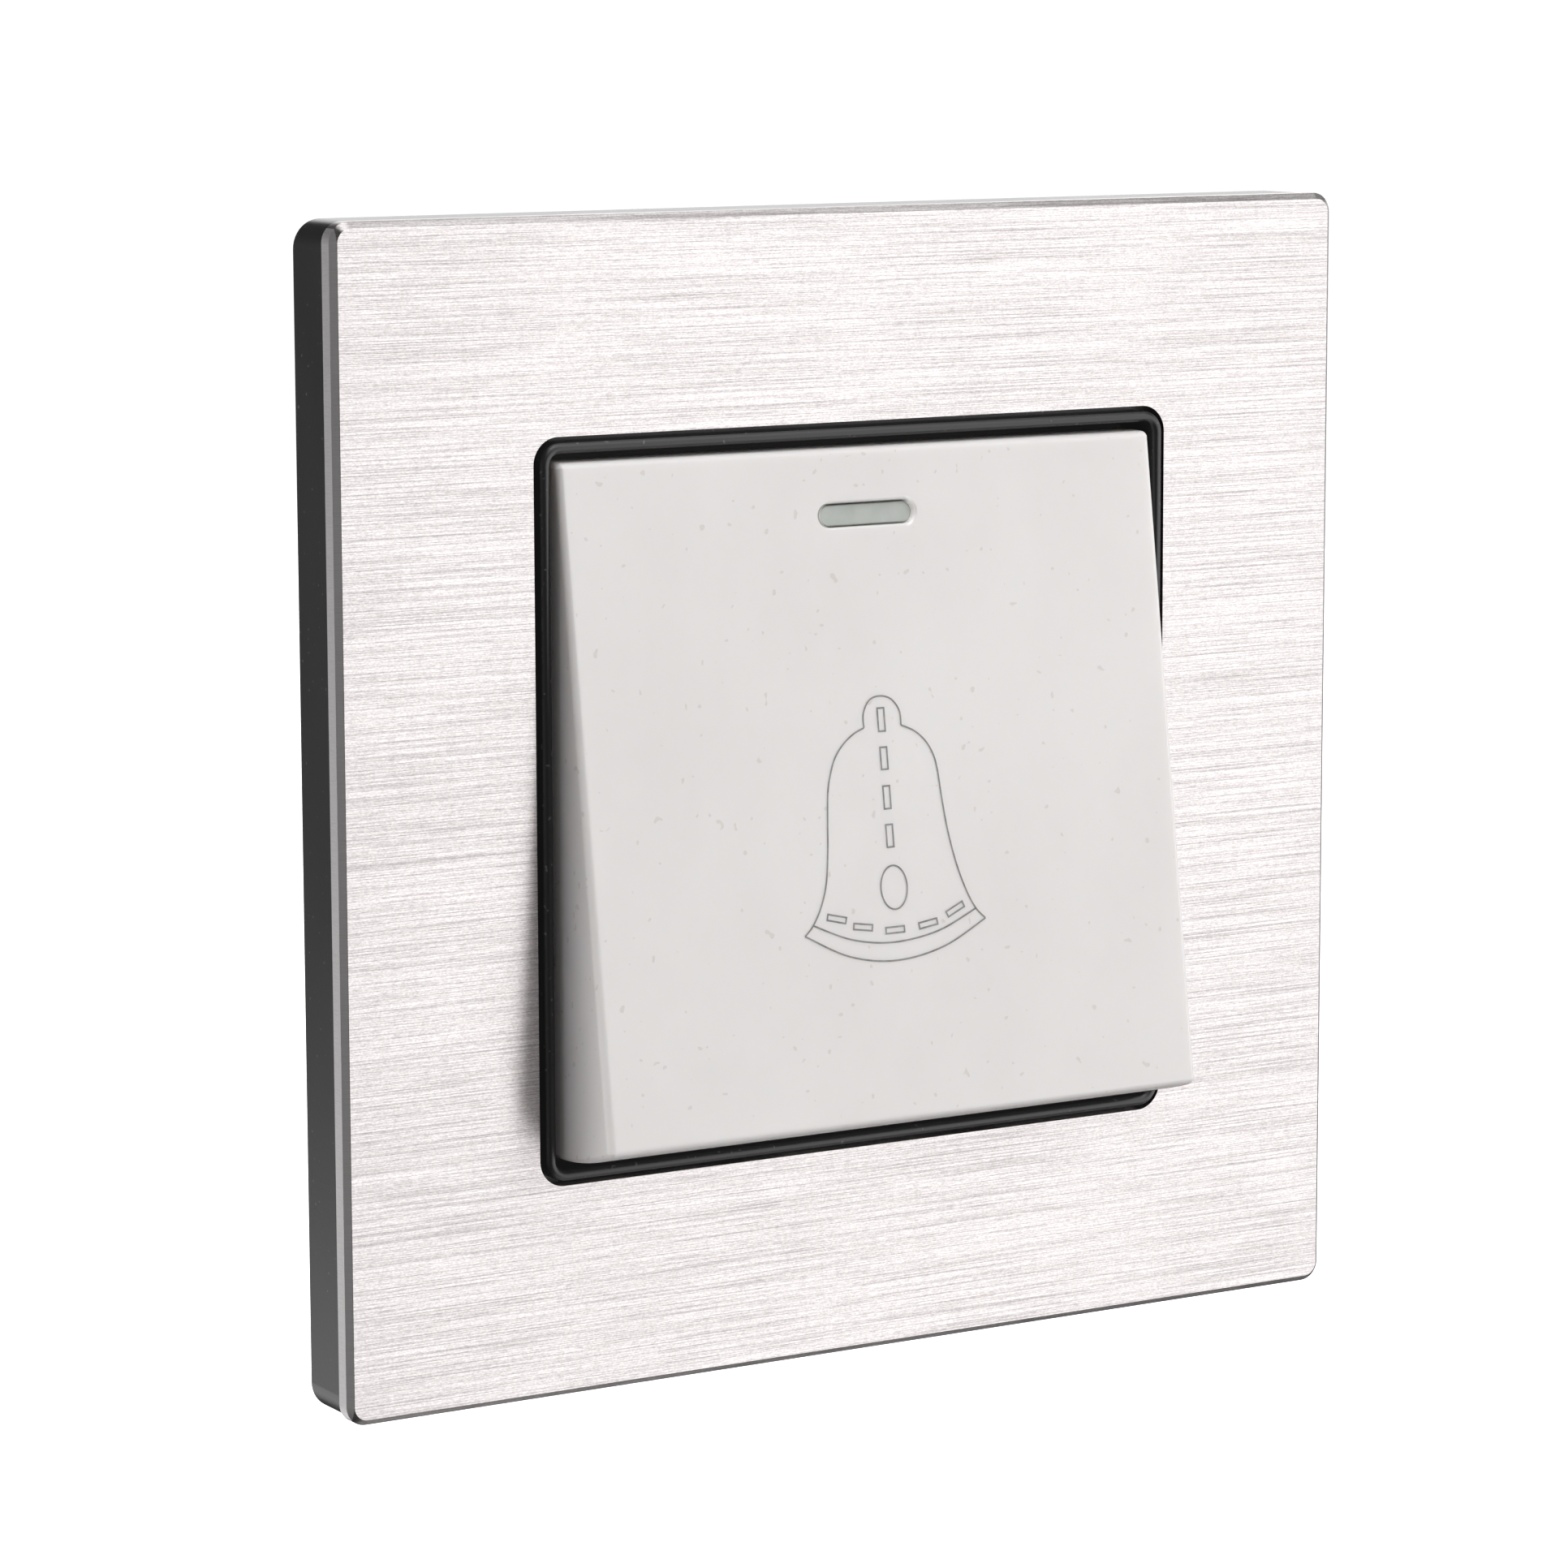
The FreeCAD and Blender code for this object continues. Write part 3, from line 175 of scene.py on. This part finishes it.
def combine(tree, kind, *terms):
    """Math node on outputs or plain numbers."""
    sums = tree.nodes.new("ShaderNodeMath")
    sums.operation = kind
    for socket, term in zip(sums.inputs, terms):
        if isinstance(term, (int, float)):
            socket.default_value = term
        else:
            tree.links.new(term, socket)
    return sums.outputs["Value"]


def relief(tree, principled, height, depth, strength=1.0):
    """Bump from a height output, depth in metres."""
    bump = tree.nodes.new("ShaderNodeBump")
    bump.inputs["Distance"].default_value = depth
    bump.inputs["Strength"].default_value = strength
    tree.links.new(height, bump.inputs["Height"])
    tree.links.new(bump.outputs["Normal"], principled.inputs["Normal"])


def dress(piece, made):
    """Give every material slot of a piece one material."""
    for holder in piece.material_slots:
        holder.material = made


def span(tree, factor, low, high):
    """Map a 0 to 1 factor onto a range."""
    remap = tree.nodes.new("ShaderNodeMapRange")
    remap.inputs["To Min"].default_value = low
    remap.inputs["To Max"].default_value = high
    tree.links.new(factor, remap.inputs["Value"])
    return remap.outputs["Result"]


brushed, tree, principled, place = new_surface("brushed_plate", (0.86, 0.82, 0.82), 0.34, 1.0)
fine = grain(tree, place, (210, 900, 21000), 1.0, 0.5)
long = grain(tree, place, (42, 500, 14000), 0.0, 0.5)
short = grain(tree, place, (1300, 1300, 23000), 0.0, 0.5)
speckle = grain(tree, place, (5200, 5200, 12000), 1.0, 0.5)
fine_stops = [(0.36, (0.515, 0.503, 0.503)), (0.50, (0.641, 0.628, 0.628)), (0.62, (0.683, 0.673, 0.673))]
long_stops = [(0.34, (0.74, 0.725, 0.725)), (0.50, (0.96, 0.945, 0.945)), (0.64, (1.0, 0.99, 0.99))]
short_stops = [(0.34, (0.78, 0.77, 0.77)), (0.50, (0.97, 0.96, 0.96)), (0.64, (1.0, 0.995, 0.995))]
speckle_tone = ramp(tree, speckle, [(0.34, (0.74, 0.72, 0.73)), (0.64, (1.0, 0.995, 0.995))])
tone = blend(tree, "MULTIPLY", 1.0, ramp(tree, fine, fine_stops), ramp(tree, long, long_stops))
tone = blend(tree, "MULTIPLY", 0.8, tone, ramp(tree, short, short_stops))
tone = blend(tree, "MULTIPLY", 0.8, tone, speckle_tone)
axes = tree.nodes.new("ShaderNodeSeparateXYZ")
tree.links.new(place, axes.inputs["Vector"])
flat_half = 0.04258
cut_edge = combine(tree, "GREATER_THAN", combine(tree, "ABSOLUTE", axes.outputs["X"]), flat_half)
bright_cut = ramp(tree, fine, [(0.36, (0.91, 0.89, 0.89)), (0.62, (0.99, 0.97, 0.97))])
tone = choose(tree, cut_edge, tone, bright_cut)
tree.links.new(tone, principled.inputs["Base Color"])
satin = combine(tree, "ADD", span(tree, fine, 0.28, 0.36), combine(tree, "MULTIPLY", cut_edge, 0.2))
tree.links.new(satin, principled.inputs["Roughness"])
principled.inputs["Anisotropic"].default_value = 0.9
across_lines = tree.nodes.new("ShaderNodeCombineXYZ")
across_lines.inputs["Z"].default_value = 1.0
tree.links.new(across_lines.outputs["Vector"], principled.inputs["Tangent"])
relief(tree, principled, long, 0.000004, 0.2)
dress(nodes["face_plate"], brushed)


# Plate tape: thin foam tape that bonds the plate to the frame, hardly seen.
# Off-white foam with open cells.
def paint(tree, principled, factor, stops):
    """Base colour from a ramp."""
    tree.links.new(ramp(tree, factor, stops), principled.inputs["Base Color"])


foam, tree, principled, place = new_surface("foam_tape", (0.72, 0.72, 0.70), 0.85)
cells = grain(tree, place, (2600, 2600, 2600), 2.0)
paint(tree, principled, cells, [(0.3, (0.55, 0.55, 0.53)), (0.7, (0.8, 0.8, 0.78))])
relief(tree, principled, cells, 0.00003, 0.4)
dress(nodes["plate_tape"], foam)


# Trim frame: black moulding behind the plate; its bead stands in the plate's opening.
# Satin black plastic with a fine moulded texture and a few specks of dust.
# It snaps onto the base by four hooks.
black, tree, principled, place = new_surface("black_trim", (0.011, 0.012, 0.013), 0.24)
texture = grain(tree, place, (3800, 3800, 3800), 2.0)
smear = grain(tree, place, (60, 60, 26), 3.0)
tone = ramp(tree, smear, [(0.3, (0.0045, 0.0045, 0.005)), (0.7, (0.008, 0.0085, 0.009))])
dust = grain(tree, place, (3000, 3000, 3000), 0.0)
tone = blend(tree, "ADD", 1.0, tone, ramp(tree, dust, [(0.79, (0.0, 0.0, 0.0)), (0.83, (0.07, 0.07, 0.07))]))
tree.links.new(tone, principled.inputs["Base Color"])
principled.inputs["Specular IOR Level"].default_value = 0.5
# The faint white emission is painted light: a glow that lifts the black of the bead and its gaps.
principled.inputs["Emission Color"].default_value = (1.0, 0.98, 0.97, 1)
principled.inputs["Emission Strength"].default_value = 0.005
tree.links.new(span(tree, smear, 0.28, 0.36), principled.inputs["Roughness"])
relief(tree, principled, texture, 0.000012, 0.35)
dress(nodes["trim_frame"], black)


# Rocker key: white cap that rocks on two trunnions, with a rounded slot for the window near its top.
# Satin warm-white plastic with faint smudges and specks; a ring of painted shade darkens the slot's rim, and
# a painted glow lights its right end.
# The cap is a merged copy of the solid key, cut by a rounded block so that its curved ends get soft edges.
# The pivot stands in front of the wall, and the face lies at its reach from the pivot, leaning by the tilt.
pivot = 0.0047
reach = 0.00545
tilt = math.radians(8.03)
# The slot lies up the face from the pivot: half its straight length, and the radius of its ends.
slot_up = 0.02
slot_straight = 0.0032
slot_radius = 0.00085
rim_shift = 0.00026
white, tree, principled, place = new_surface("white_key", (0.83, 0.805, 0.80), 0.36)
smudge = grain(tree, place, (70, 70, 48), 4.0, 0.6)
speck = grain(tree, place, (900, 900, 900), 1.0)
tone = ramp(tree, smudge, [(0.30, (0.785, 0.762, 0.756)), (0.62, (0.82, 0.80, 0.795))])
dust = grain(tree, place, (1700, 1700, 1700), 0.0)
dust_tone = ramp(tree, dust, [(0.79, (1.0, 1.0, 1.0)), (0.82, (0.88, 0.865, 0.84))])
tone = blend(tree, "MULTIPLY", 1.0, tone, dust_tone)
axes = tree.nodes.new("ShaderNodeSeparateXYZ")
tree.links.new(place, axes.inputs["Vector"])
forward = combine(tree, "MULTIPLY", combine(tree, "ADD", axes.outputs["Y"], pivot), math.sin(tilt))
up_face = combine(tree, "MULTIPLY_ADD", axes.outputs["Z"], math.cos(tilt), forward)
above_slot = combine(tree, "SUBTRACT", up_face, slot_up)
sideways = combine(tree, "ABSOLUTE", combine(tree, "ADD", axes.outputs["X"], rim_shift))
past_straight = combine(tree, "MAXIMUM", combine(tree, "SUBTRACT", sideways, slot_straight), 0.0)
squares = [combine(tree, "POWER", side, 2.0) for side in (past_straight, above_slot)]
from_middle = combine(tree, "SQRT", combine(tree, "ADD", *squares))
# Millimetres outwards from the slot's rim, counted from 0.5.
from_rim = combine(tree, "MULTIPLY_ADD", from_middle, 1000.0, 0.5 - 1000 * slot_radius)
# Round the slot: the window's tone on the lip, then a dark ring of painted shade where a groove's shadow
# would fall.
glass, painted_groove_shade, clean = (0.68, 0.715, 0.68), (0.30, 0.30, 0.29), (1.0, 1.0, 1.0)
slot_lip_and_painted_shade = ramp(tree, from_rim, [(0.34, glass), (0.46, painted_groove_shade), (0.52, (0.36, 0.36, 0.35)), (0.58, clean)])
tone = blend(tree, "MULTIPLY", 1.0, tone, slot_lip_and_painted_shade)
# Painted light: an emission glow on the slot's right wall and rim, standing in for the light it would catch.
unlit, lit, fading = (0.0, 0.0, 0.0), (0.30, 0.30, 0.30), (0.27, 0.27, 0.27)
painted_light_rim = ramp(tree, from_rim, [(0.58, unlit), (0.70, lit), (0.79, fading), (0.92, unlit)])
right_end = tree.nodes.new("ShaderNodeMapRange")
right_end.inputs["From Min"].default_value = slot_straight
right_end.inputs["From Max"].default_value = slot_straight + 0.0005
tree.links.new(axes.outputs["X"], right_end.inputs["Value"])
painted_glow = combine(tree, "MULTIPLY", right_end.outputs["Result"], painted_light_rim)
principled.inputs["Emission Color"].default_value = (1.0, 0.98, 0.96, 1)
tree.links.new(painted_glow, principled.inputs["Emission Strength"])
tree.links.new(tone, principled.inputs["Base Color"])
tree.links.new(span(tree, smudge, 0.42, 0.52), principled.inputs["Roughness"])
principled.inputs["Subsurface Weight"].default_value = 0.6
principled.inputs["Subsurface Radius"].default_value = (1.0, 0.9, 0.8)
principled.inputs["Subsurface Scale"].default_value = 0.001
relief(tree, principled, speck, 0.000006, 0.25)
dress(nodes["rocker_key"], white)


def lean_back(y, z):
    """Side view of the level key turned by the tilt about the pivot, as the key stands at rest."""
    return y * math.cos(tilt) + z * math.sin(tilt) - pivot, z * math.cos(tilt) - y * math.sin(tilt)


def turned(start, end, steps):
    """Unit vectors from one direction to another, the short way round, in equal angles."""
    first, last = math.atan2(start[1], start[0]), math.atan2(end[1], end[0])
    last = first + (last - first + math.pi) % (2 * math.pi) - math.pi
    angles = np.linspace(first, last, steps)
    return np.stack([np.cos(angles), np.sin(angles)], 1)


def rounded_block(half, front, radius, back, edge, steps):
    """Block from x = -half to half and y = -front to back, its ends on a circle of a radius about the X axis.
    A side view shrunk by the edge radius is walked round. Each of its points carries a half circle of that
    radius: x = side + edge sin v, and edge cos v along the side view's outward direction."""
    y, r = edge - front, radius - edge
    low_front = np.array([y, -math.sqrt(r * r - y * y)])
    low_back = np.array([back, -math.sqrt(r * r - back * back)])
    corner = turned((-1, 0), low_front, steps)
    arc = turned(low_front, low_back, 60)
    centres = np.concatenate([np.repeat(low_front[None], steps, 0), r * arc, low_back[None]])
    normals = np.concatenate([corner, arc, [[1.0, 0.0]]])
    centres = np.concatenate([centres, (centres * (1, -1))[::-1]])
    normals = np.concatenate([normals, (normals * (1, -1))[::-1]])
    bend = np.linspace(0, math.pi / 2, steps)
    side = half - edge + edge * np.sin(bend)
    x = np.concatenate([-side[::-1], side])
    out = np.concatenate([(edge * np.cos(bend))[::-1], edge * np.cos(bend)])
    ring = centres[:, None] + out[None, :, None] * normals[:, None]
    points = np.concatenate([np.broadcast_to(x[None, :, None], ring.shape[:2] + (1,)), ring], 2)
    around, count = ring.shape[:2]
    i, j = np.meshgrid(np.arange(around), np.arange(count - 1), indexing="ij")
    k = (i + 1) % around
    quads = np.stack([i * count + j, i * count + j + 1, k * count + j + 1, k * count + j], 2).reshape(-1, 4)
    ends = [(np.arange(around) * count).tolist(), (np.arange(around) * count + count - 1)[::-1].tolist()]
    return points.reshape(-1, 3), quads.tolist() + ends


key_half = 0.0256
end_radius = 0.02545
soft_edge = 0.0006
slack = 0.00002
block, block_faces = rounded_block(key_half + slack, reach + slack, end_radius + slack, 0.006, soft_edge, 9)
block[:, 1], block[:, 2] = lean_back(block[:, 1], block[:, 2])
envelope_mesh = bpy.data.meshes.new("key_envelope")
envelope_mesh.from_pydata(block.tolist(), [], block_faces)
skin = bmesh.new()
skin.from_mesh(envelope_mesh)
bmesh.ops.remove_doubles(skin, verts=skin.verts, dist=0.0000005)
bmesh.ops.dissolve_degenerate(skin, dist=0.0000005, edges=skin.edges)
bmesh.ops.recalc_face_normals(skin, faces=skin.faces)
skin.to_mesh(envelope_mesh)
skin.free()
envelope = bpy.data.objects.new("key_envelope", envelope_mesh)
bpy.context.scene.collection.objects.link(envelope)
cap_mesh = nodes["rocker_key"].data.copy()
cap_mesh.name = "white_cap"
shell = bmesh.new()
shell.from_mesh(cap_mesh)
bmesh.ops.remove_doubles(shell, verts=shell.verts, dist=0.000001)
shell.to_mesh(cap_mesh)
shell.free()
cap = bpy.data.objects.new("white_cap", cap_mesh)
bpy.context.scene.collection.objects.link(cap)
trim = cap.modifiers.new("rounded_corners", "BOOLEAN")
trim.operation = "INTERSECT"
trim.solver = "EXACT"
trim.object = envelope
rounded = bpy.data.meshes.new_from_object(cap.evaluated_get(bpy.context.evaluated_depsgraph_get()))
cap.modifiers.clear()
bpy.data.objects.remove(envelope)
cap.data = rounded
shell = bmesh.new()
shell.from_mesh(rounded)
bmesh.ops.remove_doubles(shell, verts=shell.verts, dist=0.000001)
bmesh.ops.dissolve_limit(shell, angle_limit=math.radians(0.4), verts=shell.verts, edges=shell.edges)
for face in shell.faces:
    face.smooth = True
for edge in shell.edges:
    edge.smooth = edge.calc_face_angle(0) < math.radians(32)
shell.to_mesh(rounded)
shell.free()
even = cap.modifiers.new("even_normals", "WEIGHTED_NORMAL")
even.keep_sharp = True
finished = bpy.data.meshes.new_from_object(cap.evaluated_get(bpy.context.evaluated_depsgraph_get()))
cap.modifiers.clear()
cap.data = finished
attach(cap, "key")
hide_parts("rocker_key")


# Indicator window: light guide pressed into the slot of the key from behind.
# Clear grey-green plastic, slightly cloudy.
clear, tree, principled, place = new_surface("clear_window", (0.50, 0.535, 0.50), 0.34)
cloud = grain(tree, place, (420, 420, 420), 3.0)
paint(tree, principled, cloud, [(0.3, (0.50, 0.535, 0.50)), (0.7, (0.62, 0.655, 0.62))])
principled.inputs["Transmission Weight"].default_value = 0.25
principled.inputs["IOR"].default_value = 1.49
relief(tree, principled, cloud, 0.00002, 0.3)
dress(nodes["indicator_window"], clear)


# Bell mark: the common bell sign in thin grey lines, printed on the key's face.
# Flat strips of ink that follow each stroke, laid on the sloping face.
# The strokes are in millimetres, sideways and up the face from the bell's middle.
def smooth_line(points, steps):
    """Points along a Catmull-Rom curve through the given points."""
    p = np.array([points[0]] + list(points) + [points[-1]], float)
    t = np.linspace(0, 1, steps, endpoint=False)[:, None]
    out = []
    for a, b, c, d in zip(p, p[1:], p[2:], p[3:]):
        bend = (2 * a - 5 * b + 4 * c - d) * t ** 2 + (3 * b - a - 3 * c + d) * t ** 3
        out.append(0.5 * (2 * b + (c - a) * t + bend))
    out.append(p[-2][None])
    return np.concatenate(out)


def dash(centre, half_long, half_wide, angle):
    """Corners of a small outlined bar turned by an angle."""
    c, s = math.cos(angle), math.sin(angle)
    bar = np.array([(-1, -1), (1, -1), (1, 1), (-1, 1)]) * (half_long, half_wide)
    return np.array(centre) + bar @ np.array([(c, s), (-s, c)])


def pen_stroke(line, closed, half_wide):
    """Strip of quads along a line, half a pen's width to each side, with mitred corners.
    At each point the strip reaches sideways across the mean direction, longer by 1 / cos of half the turn."""
    before = np.roll(line, 1, 0) if closed else np.concatenate([line[:1], line[:-1]])
    after = np.roll(line, -1, 0) if closed else np.concatenate([line[1:], line[-1:]])
    way_in, way_out = line - before, after - line
    if not closed:
        way_in[0], way_out[-1] = way_out[0], way_in[-1]
    way_in /= np.linalg.norm(way_in, axis=1)[:, None]
    way_out /= np.linalg.norm(way_out, axis=1)[:, None]
    side = np.stack([-(way_in + way_out)[:, 1], (way_in + way_out)[:, 0]], 1)
    side /= np.linalg.norm(side, axis=1)[:, None]
    cosine = (side * np.stack([-way_in[:, 1], way_in[:, 0]], 1)).sum(1)
    side *= (half_wide / np.maximum(cosine, 0.5))[:, None]
    here = np.arange(len(line) if closed else len(line) - 1)
    there = (here + 1) % len(line)
    quads = np.stack([2 * here, 2 * here + 1, 2 * there + 1, 2 * there], 1)
    return np.stack([line - side, line + side], 1).reshape(-1, 2), quads


crown = [(-1.76, 5.04), (-1.72, 6.1), (-1.15, 7.02), (-0.24, 7.29), (0.75, 7.0), (1.4, 6.1), (1.46, 5.02)]
left_side = [(-1.76, 5.04), (-2.69, 4.66), (-3.69, 3.93), (-4.43, 3.03), (-4.90, 1.94), (-5.26, 0.54),
             (-5.47, -1.68), (-5.64, -3.75), (-5.98, -6.12), (-6.59, -7.82), (-7.35, -9.06), (-8.10, -9.79)]
right_side = [(1.46, 5.02), (2.59, 4.50), (3.47, 3.71), (4.05, 2.70), (4.33, 1.54), (4.53, -0.57),
              (4.87, -3.19), (5.42, -5.67), (6.11, -7.68), (6.82, -9.04), (7.60, -9.84)]
inner_rim = [(-7.35, -9.06), (-4.1, -10.4), (-0.5, -10.9), (3.4, -10.4), (6.82, -9.04)]
outer_rim = [(-8.10, -9.79), (-4.4, -11.62), (-0.4, -12.26), (3.8, -11.6), (7.60, -9.84)]
strokes = [(smooth_line(line, 8), False) for line in (crown, left_side, right_side, inner_rim, outer_rim)]
turns = np.linspace(0, 2 * math.pi, 40, endpoint=False)
clapper = np.stack([-0.18 + 1.14 * np.cos(turns), -6.87 + 1.62 * np.sin(turns)], 1)
strokes.append((clapper, True))
shaft_dashes = [(4.69, 6.40), (1.87, 3.50), (-1.04, 0.63), (-3.88, -2.22)]
for low, high in shaft_dashes:
    strokes.append((dash((-0.215, (low + high) / 2), 0.285, (high - low) / 2, 0.0), True))
rim_dashes = [(-5.3, -8.75, -0.24), (-3.1, -9.55, -0.15), (-0.35, -10.0, 0.0),
              (2.55, -9.8, 0.14), (5.0, -8.95, 0.42)]
for x, v, angle in rim_dashes:
    strokes.append((dash((x, v), 0.8, 0.22, angle), True))
half_ink = 0.065
strips, quads, start = [], [], 0
for line, closed in strokes:
    strip, strip_quads = pen_stroke(line, closed, half_ink)
    strips.append(strip)
    quads.append(strip_quads + start)
    start += len(strip)
flat = np.concatenate(strips) / 1000
bell_drop = 0.00076
ink_film = 0.000012
ink_y, ink_z = lean_back(-(reach + ink_film), flat[:, 1] - bell_drop)
ink_points = np.stack([flat[:, 0], ink_y, ink_z], 1)
bell_mesh = bpy.data.meshes.new("bell_mark")
bell_mesh.from_pydata(ink_points.tolist(), [], np.concatenate(quads).tolist())
bell = bpy.data.objects.new("bell_mark", bell_mesh)
bpy.context.scene.collection.objects.link(bell)
ink, tree, principled, place = new_surface("grey_ink", (0.22, 0.215, 0.21), 0.5)
patch = grain(tree, place, (1500, 1500, 1500), 2.0)
paint(tree, principled, patch, [(0.3, (0.17, 0.165, 0.16)), (0.7, (0.30, 0.295, 0.29))])
bell_mesh.materials.append(ink)
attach(bell, "key")


# Mounting yoke: stamped steel plate with the two fixing slots, held to the base by flush stakes.
# Zinc plating with a fine matt grain.
zinc, tree, principled, place = new_surface("zinc_steel", (0.70, 0.71, 0.72), 0.4, 1.0)
spangle = grain(tree, place, (900, 900, 900), 2.0)
zinc_stops = [(0.3, (0.66, 0.67, 0.68)), (0.55, (0.75, 0.76, 0.77)), (0.75, (0.80, 0.81, 0.82))]
paint(tree, principled, spangle, zinc_stops)
tree.links.new(span(tree, spangle, 0.36, 0.48), principled.inputs["Roughness"])
relief(tree, principled, spangle, 0.00001, 0.3)
dress(nodes["mounting_yoke"], zinc)


# Base moulding: tub with the key's bearings, the plunger's guide and the flange behind the trim frame.
# Matt black plastic, so the gap round the key looks dark.
jet, tree, principled, place = new_surface("black_base", (0.014, 0.014, 0.015), 0.5)
mould = grain(tree, place, (2400, 2400, 2400), 2.0)
flow = grain(tree, place, (60, 60, 60), 3.0)
paint(tree, principled, flow, [(0.3, (0.011, 0.011, 0.012)), (0.7, (0.018, 0.018, 0.019))])
relief(tree, principled, mould, 0.00001, 0.3)
# The faint white emission is painted light: a glow that lifts the black seen in the gap round the key.
principled.inputs["Emission Color"].default_value = (1.0, 0.98, 0.97, 1)
principled.inputs["Emission Strength"].default_value = 0.008
dress(nodes["base_moulding"], jet)


# Rear housing: tub for the contacts with wire mouths and screw wells, fixed to the base by four screws.
# Dark grey plastic with a spark-eroded texture.
grey, tree, principled, place = new_surface("grey_housing", (0.10, 0.104, 0.108), 0.55)
spark = grain(tree, place, (3000, 3000, 3000), 3.0)
flow = grain(tree, place, (80, 80, 80), 3.0)
paint(tree, principled, flow, [(0.3, (0.085, 0.088, 0.092)), (0.7, (0.125, 0.13, 0.135))])
tree.links.new(span(tree, spark, 0.45, 0.68), principled.inputs["Roughness"])
relief(tree, principled, spark, 0.00004, 0.5)
dress(nodes["rear_housing"], grey)


# Screws: four that hold the housing and two that clamp the wires.
# Zinc plated steel with the turning marks of their heads.
steel, tree, principled, place = new_surface("screw_steel", (0.62, 0.61, 0.58), 0.3, 1.0)
marks = grain(tree, place, (900, 900, 900), 3.0)
paint(tree, principled, marks, [(0.3, (0.50, 0.49, 0.46)), (0.7, (0.72, 0.71, 0.68))])
tree.links.new(span(tree, marks, 0.2, 0.4), principled.inputs["Roughness"])
dress(nodes["housing_screws"], steel)
dress(nodes["terminal_screws"], steel)


# Plunger: pin that the key's foot pushes, sliding in the base's guide.
# Natural nylon, slightly hazy.
nylon, tree, principled, place = new_surface("nylon", (0.80, 0.77, 0.68), 0.42)
haze = grain(tree, place, (400, 400, 400), 3.0)
paint(tree, principled, haze, [(0.3, (0.74, 0.71, 0.62)), (0.7, (0.83, 0.80, 0.72))])
principled.inputs["Subsurface Weight"].default_value = 0.1
dress(nodes["plunger"], nylon)


# Bridge, strips, terminals and pins: what carries the current, held in the housing's slots.
# Stamped brass, slightly tarnished.
brass, tree, principled, place = new_surface("stamped_brass", (0.72, 0.50, 0.20), 0.3, 1.0)
tarnish = grain(tree, place, (500, 500, 500), 4.0)
paint(tree, principled, tarnish, [(0.3, (0.55, 0.36, 0.13)), (0.6, (0.76, 0.55, 0.24))])
tree.links.new(span(tree, tarnish, 0.22, 0.45), principled.inputs["Roughness"])
brass_pieces = ["bridge_contact", "left_contact_strip", "right_contact_strip"]
brass_pieces += ["left_terminal", "right_terminal", "indicator_pins"]
for name in brass_pieces:
    dress(nodes[name], brass)


# Rivets: contact faces set in the bridge and in the strips.
# Silver alloy, polished by use.
silver, tree, principled, place = new_surface("silver_contact", (0.80, 0.79, 0.76), 0.2, 1.0)
wear = grain(tree, place, (900, 900, 900), 3.0)
paint(tree, principled, wear, [(0.3, (0.66, 0.65, 0.62)), (0.7, (0.84, 0.83, 0.80))])
tree.links.new(span(tree, wear, 0.12, 0.35), principled.inputs["Roughness"])
dress(nodes["bridge_rivets"], silver)
dress(nodes["fixed_rivets"], silver)


# Return spring: coil behind the plunger that returns it and the key.
# Drawn spring wire.
wire, tree, principled, place = new_surface("spring_wire", (0.45, 0.45, 0.45), 0.28, 1.0)
drawn = grain(tree, place, (700, 700, 700), 2.0)
paint(tree, principled, drawn, [(0.3, (0.36, 0.36, 0.36)), (0.7, (0.55, 0.55, 0.55))])
dress(nodes["return_spring"], wire)


# Indicator: lamp and resistor on a small board behind the window.
# Green lacquered board, clear resin lens, tan resistor body.
board, tree, principled, place = new_surface("green_board", (0.03, 0.17, 0.07), 0.35)
lacquer = grain(tree, place, (300, 300, 300), 3.0)
paint(tree, principled, lacquer, [(0.3, (0.02, 0.13, 0.05)), (0.7, (0.045, 0.20, 0.09))])
dress(nodes["indicator_board"], board)
lens_resin, tree, principled, place = new_surface("lamp_lens", (0.86, 0.88, 0.85), 0.12)
tint = grain(tree, place, (500, 500, 500), 2.0)
paint(tree, principled, tint, [(0.3, (0.80, 0.83, 0.80)), (0.7, (0.90, 0.91, 0.89))])
principled.inputs["Transmission Weight"].default_value = 0.7
dress(nodes["indicator_lamp"], lens_resin)
lacquered, tree, principled, place = new_surface("resistor_body", (0.55, 0.44, 0.28), 0.35)
coat = grain(tree, place, (600, 600, 600), 2.0)
paint(tree, principled, coat, [(0.3, (0.48, 0.38, 0.24)), (0.7, (0.60, 0.49, 0.32))])
dress(nodes["indicator_resistor"], lacquered)
